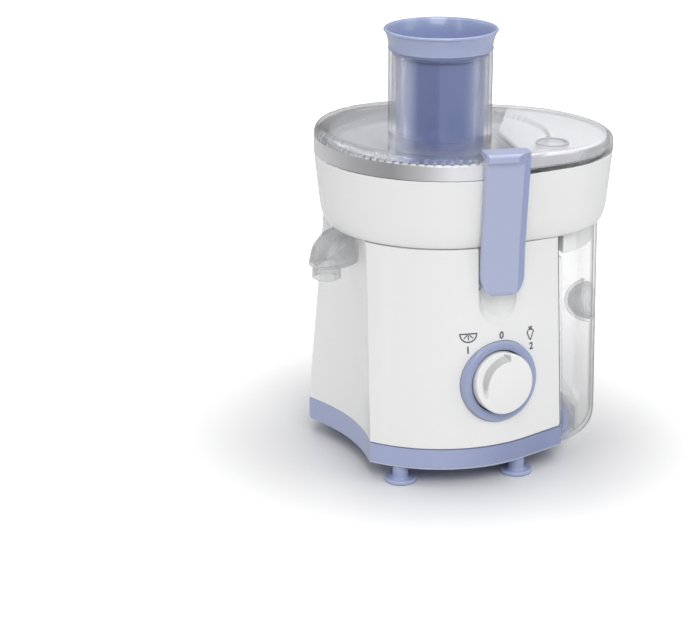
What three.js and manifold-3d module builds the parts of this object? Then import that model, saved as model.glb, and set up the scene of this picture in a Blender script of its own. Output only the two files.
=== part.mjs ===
// Centrifugal juicer, in millimetres, +Z up. The filter spins about a vertical axis, the pulp container
// stands on the +X side and the speed knob faces -Y.
import * as THREE from 'three';
import { mergeVertices } from 'three/addons/utils/BufferGeometryUtils.js';
import Module from 'manifold-3d';

const wasm = await Module();
wasm.setup();

// ---- Driving sizes -------------------------------------------------------------------------------------

// Fits: between pieces at rest, round running fits, and moving pieces that pass each other
const SEAM = 0.3;
const RUNNING = 0.1;
const PASSING = 0.6;

// Heights of the stacked parts
const FOOT_HEIGHT = 12;
const BASE_HEIGHT = 17;
const HOUSING_HEIGHT = 143;
const COLLECTOR_HEIGHT = 50;
const LID_HEIGHT = 16;
const TUBE_RISE = 57;

// Egg plan of the body: a bowl circle round the filter axis and a nose circle over the pulp container
const BODY_NOSE_X = 46;
const FOOT_BOWL_RADIUS = 94.5;
const FOOT_NOSE_RADIUS = 73.5;
const WAIST_BOWL_RADIUS = 83.5;
const WAIST_NOSE_RADIUS = 71;
const COLLECTOR_NOSE_X = 48;
const COLLECTOR_FLARE = 5.5;
const COLLECTOR_NOSE_RADIUS = 74;
const BRIM_NOSE_X = 52;
const BRIM_BOWL_RADIUS = 90;
const BRIM_NOSE_RADIUS = 74.5;

// Shells
const HOUSING_WALL = 2.5;
const BASE_FLOOR = 2.5;
const COLLECTOR_WALL = 2.6;
const COLLECTOR_FLOOR = 2.7;
const COLLECTOR_SKIRT = 2.8;
const SPIGOT_INSET = 7.5;
const SPIGOT_WALL = 3;
const CONTAINER_WALL = 2.2;

// Plane between the housing and the pulp container
const SEAM_X_AT_WAIST = 70;
const SEAM_X_AT_BASE = 76;

// Spout and the recess for a glass under it
const SPOUT_ANGLE = 195;
const RECESS_DEPTH = 10.5;
const RECESS_RADIUS = 148;
const SPOUT_REACH = 29.5;
const SPOUT_HALF_WIDTH = 18;
const SPOUT_BODY_HEIGHT = 24;
const SPOUT_WALL = 1.8;
const MOUTH_RADIUS = 10.5;
const DRAIN_HALF_WIDTH = 12;
const MOUTH_DROP = 9;

// Lid, feed tube and pusher
const LID_WALL = 2.4;
const LID_TOP_WALL = 2.2;
const LID_FILLET = 6;
const LID_FALL = 0.042;
const LID_LIP = 3;
const LID_LIP_WALL = 1.6;
const TUBE_RADIUS = 37;
const TUBE_WALL = 2.5;
const TUBE_DROP = 29;
const PUSHER_GAP = 3;
const PUSHER_WALL = 2.2;
const PUSHER_FLARE = 3.6;
const PUSHER_RIM_RISE = 15;
const PUSHER_FLOOR_DEPTH = 20;
const GUIDE_START_X = 42;
const GUIDE_WALL = 1.6;
const GUIDE_DEPTH = 11;

// Filter basket
const GRATER_RADIUS = 39.5;
const GRATER_RISE = 18;
const GRATER_THICKNESS = 1.4;
const GRATER_TEETH = 18;
const FILTER_GAP = 6;
const FILTER_RIM_HEIGHT = 5;
const FILTER_RIM_TEETH = 40;
const FILTER_RIM_WIDTH = 3.6;
const FILTER_WALL = 1.1;
const FILTER_RISE = 30;
const HUB_BOSS_RADIUS = 18;
const HUB_SKIRT_RADIUS = 26;
const HUB_FLANGE = 2;
const COUPLING_RADIUS = 13.5;
const COUPLING_LOBES = 6;
const COUPLING_LOBE_DEPTH = 2.5;
const COUPLING_HEIGHT = 15;

// Motor
const SHAFT_RADIUS = 4;
const ARMATURE_RADIUS = 21;
const ARMATURE_SLOTS = 12;
const AIR_GAP = 0.6;
const STACK_HEIGHT = 36;
const STACK_DROP = 59.2;
const STATOR_LENGTH = 80;
const STATOR_WIDTH = 64;
const COIL_THICKNESS = 6;
const COIL_HALF_WIDTH = 19;
const POLE_HALF_WIDTH = 12.3;
const FAN_RADIUS = 29;
const FAN_HEIGHT = 10;
const FAN_BLADES = 9;
const COMMUTATOR_RADIUS = 12;
const COMMUTATOR_HEIGHT = 16;
const BEARING_RADIUS = 11;
const BEARING_HEIGHT = 7;
const BRACKET_THICKNESS = 4;
const BRACKET_HALF_WIDTH = 9;
const MOUNT_DISTANCE = 52;
const MOUNT_RADIUS = 7;
const MOUNT_HEIGHT = 7.7;
const BRUSH_SIZE = 6.6;
const BRUSH_LENGTH = 14;
const SEAL_RADIUS = 14;

// Knob on the front
const KNOB_ANGLE = -75.4;
const KNOB_HEIGHT = 75;
const KNOB_RADIUS = 21.8;
const KNOB_DEPTH = 10.5;
const KNOB_GRIP_HEIGHT = 4;
const KNOB_GRIP_RADIUS = 16;
const KNOB_GRIP_SHIFT = 4;
const KNOB_EDGE = 1.5;
const KNOB_RING_RADIUS = 29.4;
const KNOB_RING_DEPTH = 8;
const SPINDLE_RADIUS = 3;
const SWITCH_SIZE = 24;
const SWITCH_DEPTH = 14;
const SWITCH_NECK = 8;

// Clamps
const CLAMP_X = 23.1;
const CLAMP_WIDTH = 31.6;
const CLAMP_GAP = 1.2;
const CLAMP_TOP_THICKNESS = 6;
const CLAMP_FOOT_THICKNESS = 3.8;
const CLAMP_WALL = 2.2;
const CLAMP_BEVEL_WIDTH = 5;
const CLAMP_BEVEL_DEPTH = 2.6;
const CLAMP_EDGE = 0.8;
const CLAMP_HOOK_REACH = 8;
const CLAMP_HOOK_THICKNESS = 3.6;
const CLAMP_LIP = 3.2;
const CLAMP_LIP_HEIGHT = 7.5;
const CLAMP_PIN_DROP = 29.6;
const CLAMP_PIN_PROUD = 0.4;
const CLAMP_PIN_RADIUS = 1.8;
const CLAMP_PIN_BEARING = 4;
const CLAMP_END_RADIUS = 5.8;
const CLAMP_LUG_WIDTH = 12;
const CLAMP_LUG_RADIUS = 3.5;
const CLAMP_RECESS_DROP = 55;

// Pulp container and the tongue it stands on
const TONGUE_REACH = 13;
const TONGUE_HALF_WIDTH = 45;
const TONGUE_RISE = 2;
const CONTAINER_LIFT = 1;
const CHUTE_LIP_DROP = 15;
const CHUTE_START = 76;
const GRIP_HEIGHT = 99;
const GRIP_DEPTH = 19;
const GRIP_HALF_WIDTH = 28;
const GRIP_HALF_HEIGHT = 14;

// Feet, screws and cord gland
const FOOT_DISC_RADIUS = 11.5;
const FOOT_STEM_RADIUS = 6;
const FOOT_SPIGOT_RADIUS = 2.6;
const FOOT_INSET = 9;
const FEET_X = [-45, 40];
const SCREW_X = [-8, 58];
const SCREW_INSET = 7;
const SCREW_RADIUS = 1.6;
const SCREW_HEAD_RADIUS = 3.4;
const SCREW_HEAD_HEIGHT = 2;
const SCREW_LENGTH = 24;
const SCREW_GRIP = 13;
const BOSS_RADIUS = 4.5;
const GLAND_ANGLE = 72;
const GLAND_HEIGHT = 50;
const GLAND_BORE = 3.6;

// ---- Levels that follow from the sizes -----------------------------------------------------------------

const baseZ = FOOT_HEIGHT;
const housingZ = baseZ + BASE_HEIGHT;
const collectorZ = housingZ + HOUSING_HEIGHT;
const lidZ = collectorZ + COLLECTOR_HEIGHT;
const lidTopZ = lidZ + LID_HEIGHT;
const tubeTopZ = lidTopZ + TUBE_RISE;
const deckTopZ = collectorZ - SEAM;
const deckZ = deckTopZ - HOUSING_WALL;
const bowlFloorZ = collectorZ + COLLECTOR_SKIRT + COLLECTOR_FLOOR;
const graterZ = bowlFloorZ + GRATER_RISE;
const collectorBowlRadius = BRIM_BOWL_RADIUS - COLLECTOR_FLARE;
const spigotRadius = collectorBowlRadius - SPIGOT_INSET;
const recessDistance = WAIST_BOWL_RADIUS - RECESS_DEPTH;
const lipInset = COLLECTOR_WALL + SEAM;
const lipInner = lipInset + LID_LIP_WALL;
const filterRimRadius = BRIM_BOWL_RADIUS - lipInner - FILTER_GAP;
const pusherRadius = TUBE_RADIUS - TUBE_WALL - PUSHER_GAP;
const clampInner = Math.max(BRIM_BOWL_RADIUS, collectorBowlRadius, WAIST_BOWL_RADIUS) + CLAMP_GAP;
const FAR = 400;
const ROUND = 24;
const LARGE = 40;
const SMALL = 12;

// ---- Solids --------------------------------------------------------------------------------------------

/** Makes a manifold solid of a closed geometry, without the repeated vertices and empty triangles. */
function toManifold(geometry) {
  const bare = geometry.clone();
  bare.deleteAttribute('normal');
  bare.deleteAttribute('uv');
  const merged = geometry.userData.closed ? bare : mergeVertices(bare, 1e-4);
  const corners = merged.index.array;
  const kept = [];
  for (let i = 0; i < corners.length; i += 3) {
    const [a, b, c] = [corners[i], corners[i + 1], corners[i + 2]];
    if (a !== b && b !== c && c !== a) kept.push(a, b, c);
  }
  const vertProperties = new Float32Array(merged.attributes.position.array);
  const triVerts = new Uint32Array(signedVolume(vertProperties, kept) < 0 ? kept.reverse() : kept);
  return new wasm.Manifold(new wasm.Mesh({ numProp: 3, vertProperties, triVerts }));
}

/** Six times the volume that the triangles enclose, negative when they face inwards. */
function signedVolume(positions, corners) {
  const a = new THREE.Vector3();
  const b = new THREE.Vector3();
  const c = new THREE.Vector3();
  let total = 0;
  for (let i = 0; i < corners.length; i += 3) {
    a.fromArray(positions, 3 * corners[i]);
    b.fromArray(positions, 3 * corners[i + 1]);
    c.fromArray(positions, 3 * corners[i + 2]);
    total += a.dot(b.cross(c));
  }
  return total;
}

/** Turns a manifold solid back into an indexed geometry. */
function toGeometry(manifold) {
  const mesh = manifold.getMesh();
  const geometry = new THREE.BufferGeometry();
  geometry.setAttribute('position', new THREE.BufferAttribute(new Float32Array(mesh.vertProperties), 3));
  geometry.setIndex(new THREE.BufferAttribute(new Uint32Array(mesh.triVerts), 1));
  geometry.userData.closed = true;
  return geometry;
}

const join = (...all) => toGeometry(all.map(toManifold).reduce((sum, next) => sum.add(next)));
const cut = (...all) => toGeometry(all.map(toManifold).reduce((rest, next) => rest.subtract(next)));
const common = (...all) => toGeometry(all.map(toManifold).reduce((shared, next) => shared.intersect(next)));

/** Box from its low corner to its high corner. */
function box(low, high) {
  const geometry = new THREE.BoxGeometry(high[0] - low[0], high[1] - low[1], high[2] - low[2]);
  return geometry.translate((low[0] + high[0]) / 2, (low[1] + high[1]) / 2, (low[2] + high[2]) / 2);
}

/** Solid of revolution about Z from [radius, height] points that close on themselves or on the axis. */
function lathe(profile, segments = ROUND) {
  const points = profile.map(([radius, height]) => new THREE.Vector2(radius, height));
  if (profile[0][0] > 0) points.push(points[0].clone());
  return new THREE.LatheGeometry(points, segments).rotateX(Math.PI / 2);
}

/** Upright cylinder between two heights. */
function rod(radius, low, high, segments = ROUND) {
  return lathe([[0, low], [radius, low], [radius, high], [0, high]], segments);
}

/** Upright tube between two heights. */
function ring(inner, outer, low, high, segments = ROUND) {
  return lathe([[inner, low], [outer, low], [outer, high], [inner, high]], segments);
}

/** Prism of an XY outline between two heights. */
function prism(outline, low, high) {
  const shape = new THREE.Shape(outline.map(([x, y]) => new THREE.Vector2(x, y)));
  return new THREE.ExtrudeGeometry(shape, { depth: high - low, bevelEnabled: false }).translate(0, 0, low);
}

/** Prism of an XZ outline, centred on Y = 0. */
function sideways(outline, width) {
  return prism(outline, -width / 2, width / 2).rotateX(Math.PI / 2);
}

/** Closed solid through a stack of outlines that all have the same number of points. */
function loft(outlines) {
  const size = outlines[0].length;
  const last = outlines.length - 1;
  const positions = outlines.flat().flatMap((point) => point.toArray());
  const middle = (outline) => outline.reduce((sum, point) => sum.clone().add(point)).divideScalar(size);
  positions.push(...middle(outlines[0]).toArray(), ...middle(outlines[last]).toArray());
  const corners = [];
  for (let i = 0; i < size; i++) {
    const next = (i + 1) % size;
    for (let level = 0; level < last; level++) {
      const below = level * size;
      const above = below + size;
      corners.push(below + i, below + next, above + next, below + i, above + next, above + i);
    }
    corners.push(next, i, size * (last + 1), last * size + i, last * size + next, size * (last + 1) + 1);
  }
  const geometry = new THREE.BufferGeometry();
  geometry.setAttribute('position', new THREE.Float32BufferAttribute(positions, 3));
  geometry.setIndex(corners);
  return geometry;
}

// ---- The egg plan --------------------------------------------------------------------------------------

const BOWL_STEPS = 30;
const NOSE_STEPS = 10;

/** Egg outline at one height: the two circles of the plan, shrunk by the inset, and their tangents. */
function egg({ bowl, nose, noseX, z, inset = 0, fall = 0 }) {
  const turn = Math.acos((bowl - nose) / noseX);
  const points = [];
  for (let i = 0; i <= NOSE_STEPS; i++) {
    const angle = -turn + (2 * turn * i) / NOSE_STEPS;
    points.push([noseX + (nose - inset) * Math.cos(angle), (nose - inset) * Math.sin(angle)]);
  }
  for (let i = 0; i <= BOWL_STEPS; i++) {
    const angle = turn + (2 * (Math.PI - turn) * i) / BOWL_STEPS;
    points.push([(bowl - inset) * Math.cos(angle), (bowl - inset) * Math.sin(angle)]);
  }
  return points.map(([x, y]) => new THREE.Vector3(x, y, z - fall * x));
}

/** Plan of the housing and container at a height: straight sides that lean in from the base to the waist. */
function bodyPlan(z, inset = 0) {
  const rise = THREE.MathUtils.clamp((z - housingZ) / HOUSING_HEIGHT, 0, 1);
  const bowl = THREE.MathUtils.lerp(FOOT_BOWL_RADIUS, WAIST_BOWL_RADIUS, rise);
  const nose = THREE.MathUtils.lerp(FOOT_NOSE_RADIUS, WAIST_NOSE_RADIUS, rise);
  return { bowl, nose, noseX: BODY_NOSE_X, z, inset };
}

/** Plan of the collector and lid at a height: it widens from the collector's foot to the brim. */
function collectorPlan(z, inset = 0) {
  const rise = THREE.MathUtils.clamp((z - collectorZ) / COLLECTOR_HEIGHT, 0, 1);
  const bowl = THREE.MathUtils.lerp(collectorBowlRadius, BRIM_BOWL_RADIUS, rise);
  const nose = THREE.MathUtils.lerp(COLLECTOR_NOSE_RADIUS, BRIM_NOSE_RADIUS, rise);
  const noseX = THREE.MathUtils.lerp(COLLECTOR_NOSE_X, BRIM_NOSE_X, rise);
  return { bowl, nose, noseX, z, inset };
}

/** Half the width of the egg at X. */
function halfWidth({ bowl, nose, noseX }, x) {
  const turn = Math.acos((bowl - nose) / noseX);
  const from = [bowl * Math.cos(turn), bowl * Math.sin(turn)];
  const to = [noseX + nose * Math.cos(turn), nose * Math.sin(turn)];
  if (x <= from[0]) return Math.sqrt(bowl ** 2 - x ** 2);
  if (x >= to[0]) return Math.sqrt(nose ** 2 - (x - noseX) ** 2);
  return THREE.MathUtils.mapLinear(x, from[0], to[0], from[1], to[1]);
}

/** Stack of body outlines at [height, inset] pairs. */
const bodyLoft = (levels) => loft(levels.map(([z, inset]) => egg(bodyPlan(z, inset))));

/** X of the plane between the housing and the container at a height. */
const seamX = (z) => SEAM_X_AT_BASE + ((SEAM_X_AT_WAIST - SEAM_X_AT_BASE) * (z - housingZ)) / HOUSING_HEIGHT;

/** Everything on the container's side of the seam plane, moved along X by the shift. */
function beyondSeam(shift) {
  const low = -FAR;
  const outline = [[seamX(low) + shift, low], [FAR, low], [FAR, FAR], [seamX(FAR) + shift, FAR]];
  return sideways(outline, FAR);
}

/** Everything in the hollow under the spout, deeper by the given amount. */
function spoutRecess(deeper = 0) {
  const wide = rod(RECESS_RADIUS + deeper, -1, deckTopZ + COLLECTOR_SKIRT + 1, 2 * LARGE);
  return wide.translate(recessDistance + RECESS_RADIUS, 0, 0).rotateZ(THREE.MathUtils.degToRad(SPOUT_ANGLE));
}

// ---- Frames on the body --------------------------------------------------------------------------------

/** Group turned about the vertical through (x, 0), so that its X points outwards at the angle. */
function radialFrame(angle, x = 0) {
  const frame = new THREE.Group();
  frame.position.x = x;
  frame.rotation.z = THREE.MathUtils.degToRad(angle);
  frame.updateMatrixWorld();
  return frame;
}

/** Group on the housing's round side, with its Z square out of the surface and its Y upwards. */
function surfaceFrame(angle, z) {
  const outward = THREE.MathUtils.degToRad(angle);
  const lean = Math.atan((FOOT_BOWL_RADIUS - WAIST_BOWL_RADIUS) / HOUSING_HEIGHT);
  const radius = bodyPlan(z).bowl;
  const frame = new THREE.Group();
  frame.position.set(radius * Math.cos(outward), radius * Math.sin(outward), z);
  const normal = new THREE.Vector3(
    Math.cos(outward) * Math.cos(lean), Math.sin(outward) * Math.cos(lean), Math.sin(lean));
  const across = new THREE.Vector3(-Math.sin(outward), Math.cos(outward), 0);
  const upward = new THREE.Vector3().crossVectors(normal, across);
  frame.quaternion.setFromRotationMatrix(new THREE.Matrix4().makeBasis(across, upward, normal));
  frame.updateMatrixWorld();
  return frame;
}

const inFrame = (geometry, frame) => geometry.clone().applyMatrix4(frame.matrixWorld);

const knobFrame = surfaceFrame(KNOB_ANGLE, KNOB_HEIGHT);
const glandFrame = surfaceFrame(GLAND_ANGLE, GLAND_HEIGHT);
const clampFrames = { front: radialFrame(-90, CLAMP_X), rear: radialFrame(90, CLAMP_X) };
const spoutFrame = radialFrame(SPOUT_ANGLE);

// ---- Materials -----------------------------------------------------------------------------------------

const paint = (color, roughness, metalness = 0, opacity = 1) => ({
  color, roughness, metalness, opacity, transparent: opacity < 1,
});
const WHITE = paint(0xf2f2f4, 0.25);
const PALE = paint(0xdcdce0, 0.35);
const LAVENDER = paint(0x8f9ccb, 0.3);
const CLEAR = paint(0xdfe3ea, 0.08, 0, 0.35);
const STEEL = paint(0xb9bcc0, 0.3, 1);
const IRON = paint(0x6f7276, 0.5, 1);
const COPPER = paint(0xb56a3a, 0.35, 1);
const RUBBER = paint(0x2b2b2e, 0.85);
const BLACK = paint(0x1f2023, 0.5);

const juicer = new THREE.Group();
for (const frame of [knobFrame, glandFrame, spoutFrame, ...Object.values(clampFrames)]) juicer.add(frame);

/** Adds one named piece to the juicer, or to a frame of it. */
function addPiece(name, geometry, look, parent = juicer) {
  const mesh = new THREE.Mesh(geometry, new THREE.MeshStandardMaterial(look));
  mesh.name = name;
  parent.add(mesh);
  return mesh;
}

// ---- Base, feet and screws -----------------------------------------------------------------------------

const basePlan = bodyPlan(housingZ);
const footPlaces = FEET_X.flatMap((x) => {
  const y = halfWidth(basePlan, x) - FOOT_INSET;
  return [[x, -y], [x, y]];
});
const screwPlaces = SCREW_X.flatMap((x) => {
  const y = halfWidth(basePlan, x) - SCREW_INSET;
  return [[x, -y], [x, y]];
});
const floorTopZ = baseZ + BASE_FLOOR;
const tongueX = SEAM_X_AT_BASE + TONGUE_REACH;
const screwSeatZ = baseZ + SCREW_HEAD_HEIGHT + 2 * SEAM;

function addBase() {
  const edge = 3;
  const baseTopZ = housingZ - SEAM;
  const levels = [[baseZ, edge], [baseZ + edge * 0.3, edge * 0.3], [baseZ + edge, 0], [baseTopZ, 0]];
  const outer = cut(bodyLoft(levels), beyondSeam(0), spoutRecess());
  const hollow = cut(
    bodyLoft([[floorTopZ, HOUSING_WALL], [baseTopZ + 1, HOUSING_WALL]]),
    beyondSeam(-HOUSING_WALL), spoutRecess(HOUSING_WALL));
  const side = TONGUE_HALF_WIDTH;
  const step = SEAM_X_AT_BASE + PASSING;
  const tongueTopZ = housingZ + TONGUE_RISE;
  const tongueFoot = box([SEAM_X_AT_BASE - 10, -side, baseZ], [tongueX, side, baseTopZ]);
  const tongueHead = box([step, -side, baseTopZ - 1], [tongueX, side, tongueTopZ]);
  const tongueHollow = box(
    [SEAM_X_AT_BASE - 10, HOUSING_WALL - side, floorTopZ],
    [tongueX - HOUSING_WALL, side - HOUSING_WALL, baseTopZ - HOUSING_WALL]);
  const rodsAt = (places, ...size) => places.map(([x, y]) => rod(...size).translate(x, y, 0));
  const spigotHoles = rodsAt(footPlaces, FOOT_SPIGOT_RADIUS + SEAM, 0, housingZ, SMALL);
  const screwHoles = rodsAt(screwPlaces, SCREW_RADIUS + SEAM, 0, housingZ, SMALL);
  const headHoles = rodsAt(screwPlaces, SCREW_HEAD_RADIUS + SEAM, 0, screwSeatZ, SMALL);
  const posts = rodsAt(screwPlaces, BOSS_RADIUS + 1, baseZ + 1, baseTopZ, ROUND);
  const shell = join(cut(join(outer, tongueFoot, tongueHead), hollow, tongueHollow), ...posts);
  addPiece('base', cut(shell, ...spigotHoles, ...screwHoles, ...headHoles), LAVENDER);
}

function addFeet() {
  const stemTop = baseZ - SEAM;
  const neckTop = floorTopZ + SEAM;
  const profile = [
    [0, 1.2], [FOOT_DISC_RADIUS - 3.5, 1.2], [FOOT_DISC_RADIUS - 3, 0], [FOOT_DISC_RADIUS - 0.8, 0],
    [FOOT_DISC_RADIUS, 0.8],
    [FOOT_DISC_RADIUS - 0.5, 3], [FOOT_STEM_RADIUS + 1, 5.5], [FOOT_STEM_RADIUS, 8],
    [FOOT_STEM_RADIUS, stemTop],
    [FOOT_SPIGOT_RADIUS, stemTop], [FOOT_SPIGOT_RADIUS, neckTop], [FOOT_SPIGOT_RADIUS + 1.6, neckTop],
    [FOOT_SPIGOT_RADIUS, neckTop + 2.5], [0, neckTop + 2.5],
  ];
  footPlaces.forEach(([x, y], i) => {
    addPiece(`foot_${i + 1}`, lathe(profile, SMALL), LAVENDER).position.set(x, y, 0);
  });
}

function addScrews() {
  const headTop = screwSeatZ - SEAM;
  const headLow = headTop - SCREW_HEAD_HEIGHT;
  const tip = headTop + SCREW_LENGTH;
  const profile = [
    [0, headLow], [SCREW_HEAD_RADIUS, headLow], [SCREW_HEAD_RADIUS, headTop], [SCREW_RADIUS, headTop],
    [SCREW_RADIUS, tip - 1.5], [0, tip],
  ];
  const slot = 0.5;
  const driver = [
    box([-2, -slot, headLow - 1], [2, slot, headLow + 0.8]),
    box([-slot, -2, headLow - 1], [slot, 2, headLow + 0.8]),
  ];
  const screw = cut(lathe(profile, SMALL), ...driver);
  screwPlaces.forEach(([x, y], i) => {
    addPiece(`base_screw_${i + 1}`, screw.clone(), STEEL).position.set(x, y, 0);
  });
}

// ---- Main housing --------------------------------------------------------------------------------------

const clampFootInner = Math.max(collectorBowlRadius, WAIST_BOWL_RADIUS) + CLAMP_GAP;
const clampPinX = WAIST_BOWL_RADIUS + CLAMP_PIN_PROUD;
const clampBedX = clampPinX - CLAMP_END_RADIUS - PASSING;
const clampPinZ = collectorZ - CLAMP_PIN_DROP;

/** Prism with a round lower end that cuts the clamp's bed into the housing, deeper by the given amount. */
function clampBed(deeper) {
  const half = CLAMP_WIDTH / 2 + PASSING + deeper;
  const floor = clampBedX - deeper;
  const endZ = collectorZ - CLAMP_RECESS_DROP + CLAMP_WIDTH / 2;
  const straight = box([floor, -half, endZ], [FAR, half, collectorZ + 1]);
  const end = rod(half, floor, FAR, ROUND).rotateY(Math.PI / 2).translate(0, 0, endZ);
  return join(straight, end);
}

/** Ear on the housing that carries the clamp's pin, rooted in the floor of the bed. */
function clampLug() {
  const low = clampPinZ - CLAMP_LUG_RADIUS;
  const high = clampPinZ + CLAMP_LUG_RADIUS;
  const half = CLAMP_LUG_WIDTH / 2;
  const block = box([clampBedX - HOUSING_WALL, -half, low], [clampPinX, half, high]);
  const upright = rod(CLAMP_LUG_RADIUS, -half, half, SMALL);
  const end = upright.rotateX(Math.PI / 2).translate(clampPinX, 0, clampPinZ);
  return join(block, end);
}

/** Pin solid through the clamp's hinge, with some play round it. */
function clampPin(play, halfLength) {
  const pin = rod(CLAMP_PIN_RADIUS + play, -halfLength, halfLength, SMALL);
  return pin.rotateX(Math.PI / 2).translate(clampPinX, 0, clampPinZ);
}

function addHousing() {
  const outer = bodyLoft([[housingZ, 0], [deckTopZ, 0]]);
  const spigot = ring(
    spigotRadius - SPIGOT_WALL, spigotRadius, deckTopZ - 1, deckTopZ + COLLECTOR_SKIRT - SEAM, LARGE);
  const lugs = Object.values(clampFrames).map((frame) => inFrame(clampLug(), frame));
  const beds = Object.values(clampFrames).map((frame) => inFrame(clampBed(0), frame));
  const shell = cut(join(outer, spigot), beyondSeam(0), spoutRecess(), ...beds);
  const bedBacks = Object.values(clampFrames).map((frame) => inFrame(clampBed(HOUSING_WALL), frame));
  const hollow = cut(
    bodyLoft([[housingZ - 1, HOUSING_WALL], [deckZ, HOUSING_WALL]]),
    beyondSeam(-HOUSING_WALL), spoutRecess(HOUSING_WALL), ...bedBacks);
  const bosses = screwPlaces.map(([x, y]) => {
    const post = rod(BOSS_RADIUS, housingZ, housingZ + SCREW_GRIP, SMALL).translate(x, y, 0);
    return common(post, outer);
  });
  const hangers = [0, 90, 180, 270].map((angle) => {
    const post = rod(MOUNT_RADIUS, motor.mountTop + SEAM, deckZ + 1, SMALL).translate(MOUNT_DISTANCE, 0, 0);
    return post.rotateZ(THREE.MathUtils.degToRad(angle));
  });
  const pilots = screwPlaces.map(([x, y]) => {
    return rod(SCREW_RADIUS + RUNNING, 0, screwSeatZ + SCREW_LENGTH + 1, SMALL).translate(x, y, 0);
  });
  const pins = Object.values(clampFrames).map((frame) => inFrame(clampPin(RUNNING, CLAMP_LUG_WIDTH), frame));
  const knobReach = 3 * KNOB_RING_DEPTH;
  const knobHole = inFrame(rod(KNOB_RING_RADIUS + SEAM, -knobReach, knobReach), knobFrame);
  const glandHole = inFrame(rod(GLAND_BORE + 1.8 + SEAM, -10, 10, SMALL), glandFrame);
  const sealHole = rod(SEAL_RADIUS + SEAM, deckZ - 1, deckTopZ + 1);
  const body = join(cut(shell, hollow), ...bosses, ...hangers, ...lugs);
  addPiece('main_housing', cut(body, ...pilots, ...pins, knobHole, glandHole, sealHole), WHITE);
}

function addGland() {
  const grip = GLAND_BORE + 1.8;
  const profile = [
    [GLAND_BORE, -8], [grip + 2, -8], [grip + 2, -HOUSING_WALL - 1], [grip, -HOUSING_WALL - 1], [grip, 0.8],
    [grip + 3, 0.8], [grip + 2.4, 3], [GLAND_BORE + 1, 9], [GLAND_BORE, 9],
  ];
  addPiece('cord_gland', lathe(profile, SMALL), BLACK, glandFrame);
}

// ---- Motor ---------------------------------------------------------------------------------------------

const stackCentre = deckZ - STACK_DROP;
const stackLow = stackCentre - STACK_HEIGHT / 2;
const stackHigh = stackCentre + STACK_HEIGHT / 2;
const coilReach = 6.5;
const fanZ = stackHigh + coilReach + 3.5;
const topBracketZ = fanZ + FAN_HEIGHT + 3;
const commutatorZ = stackLow - coilReach - 1.5 - COMMUTATOR_HEIGHT;
const bottomBracketZ = commutatorZ - 8 - BRACKET_THICKNESS;
const motor = {
  mountTop: topBracketZ + BRACKET_THICKNESS + SEAM + MOUNT_HEIGHT,
  brushZ: commutatorZ + COMMUTATOR_HEIGHT / 2,
  legX: (STATOR_LENGTH / 2 + ARMATURE_RADIUS + AIR_GAP + coilReach) / 2 + 1,
};

/** Round outline with rectangular slots cut into its rim, as for laminations, lobed couplings and teeth. */
function slotted(outerRadius, innerRadius, count, share) {
  const points = [];
  for (let i = 0; i < count; i++) {
    const pitch = (2 * Math.PI) / count;
    const middle = i * pitch;
    const half = (share * pitch) / 2;
    for (const [radius, angle] of [
      [innerRadius, middle - half], [outerRadius, middle - half], [outerRadius, middle + half],
      [innerRadius, middle + half],
    ]) points.push([radius * Math.cos(angle), radius * Math.sin(angle)]);
  }
  return points;
}

function addRotor() {
  const shaftTop = graterZ - HUB_FLANGE - 6;
  addPiece('motor_shaft', rod(SHAFT_RADIUS, bottomBracketZ - 4, shaftTop, SMALL), STEEL);
  const bore = (low, high) => rod(SHAFT_RADIUS + RUNNING, low - 1, high + 1, SMALL);
  const slots = slotted(ARMATURE_RADIUS, ARMATURE_RADIUS - 6, ARMATURE_SLOTS, 0.72);
  const laminations = prism(slots, stackLow, stackHigh);
  addPiece('armature_core', cut(laminations, bore(stackLow, stackHigh)), IRON);
  const commutatorTop = commutatorZ + COMMUTATOR_HEIGHT;
  const segments = ring(SHAFT_RADIUS + RUNNING, COMMUTATOR_RADIUS, commutatorZ, commutatorTop, SMALL);
  addPiece('commutator', segments, COPPER);
  const fanTop = fanZ + FAN_HEIGHT;
  const blades = Array.from({ length: FAN_BLADES }, (_, i) => {
    const blade = box([7, -0.8, fanZ + 1], [FAN_RADIUS - 1, 0.8, fanTop]);
    return blade.rotateZ((2 * Math.PI * i) / FAN_BLADES);
  });
  const fan = join(rod(9, fanZ, fanTop, SMALL), rod(FAN_RADIUS, fanZ, fanZ + 1.6), ...blades);
  addPiece('cooling_fan', cut(fan, bore(fanZ, fanTop)), BLACK);
  const couplingLow = collectorZ + 1;
  const couplingTop = couplingLow + COUPLING_HEIGHT;
  const lobes = slotted(COUPLING_RADIUS, COUPLING_RADIUS - COUPLING_LOBE_DEPTH, COUPLING_LOBES, 0.5);
  const socketTop = Math.min(shaftTop + SEAM, couplingTop + 1);
  const socket = rod(SHAFT_RADIUS + RUNNING, couplingLow - 1, socketTop, SMALL);
  addPiece('drive_coupling', cut(prism(lobes, couplingLow, couplingTop), socket), BLACK);
}

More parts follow.
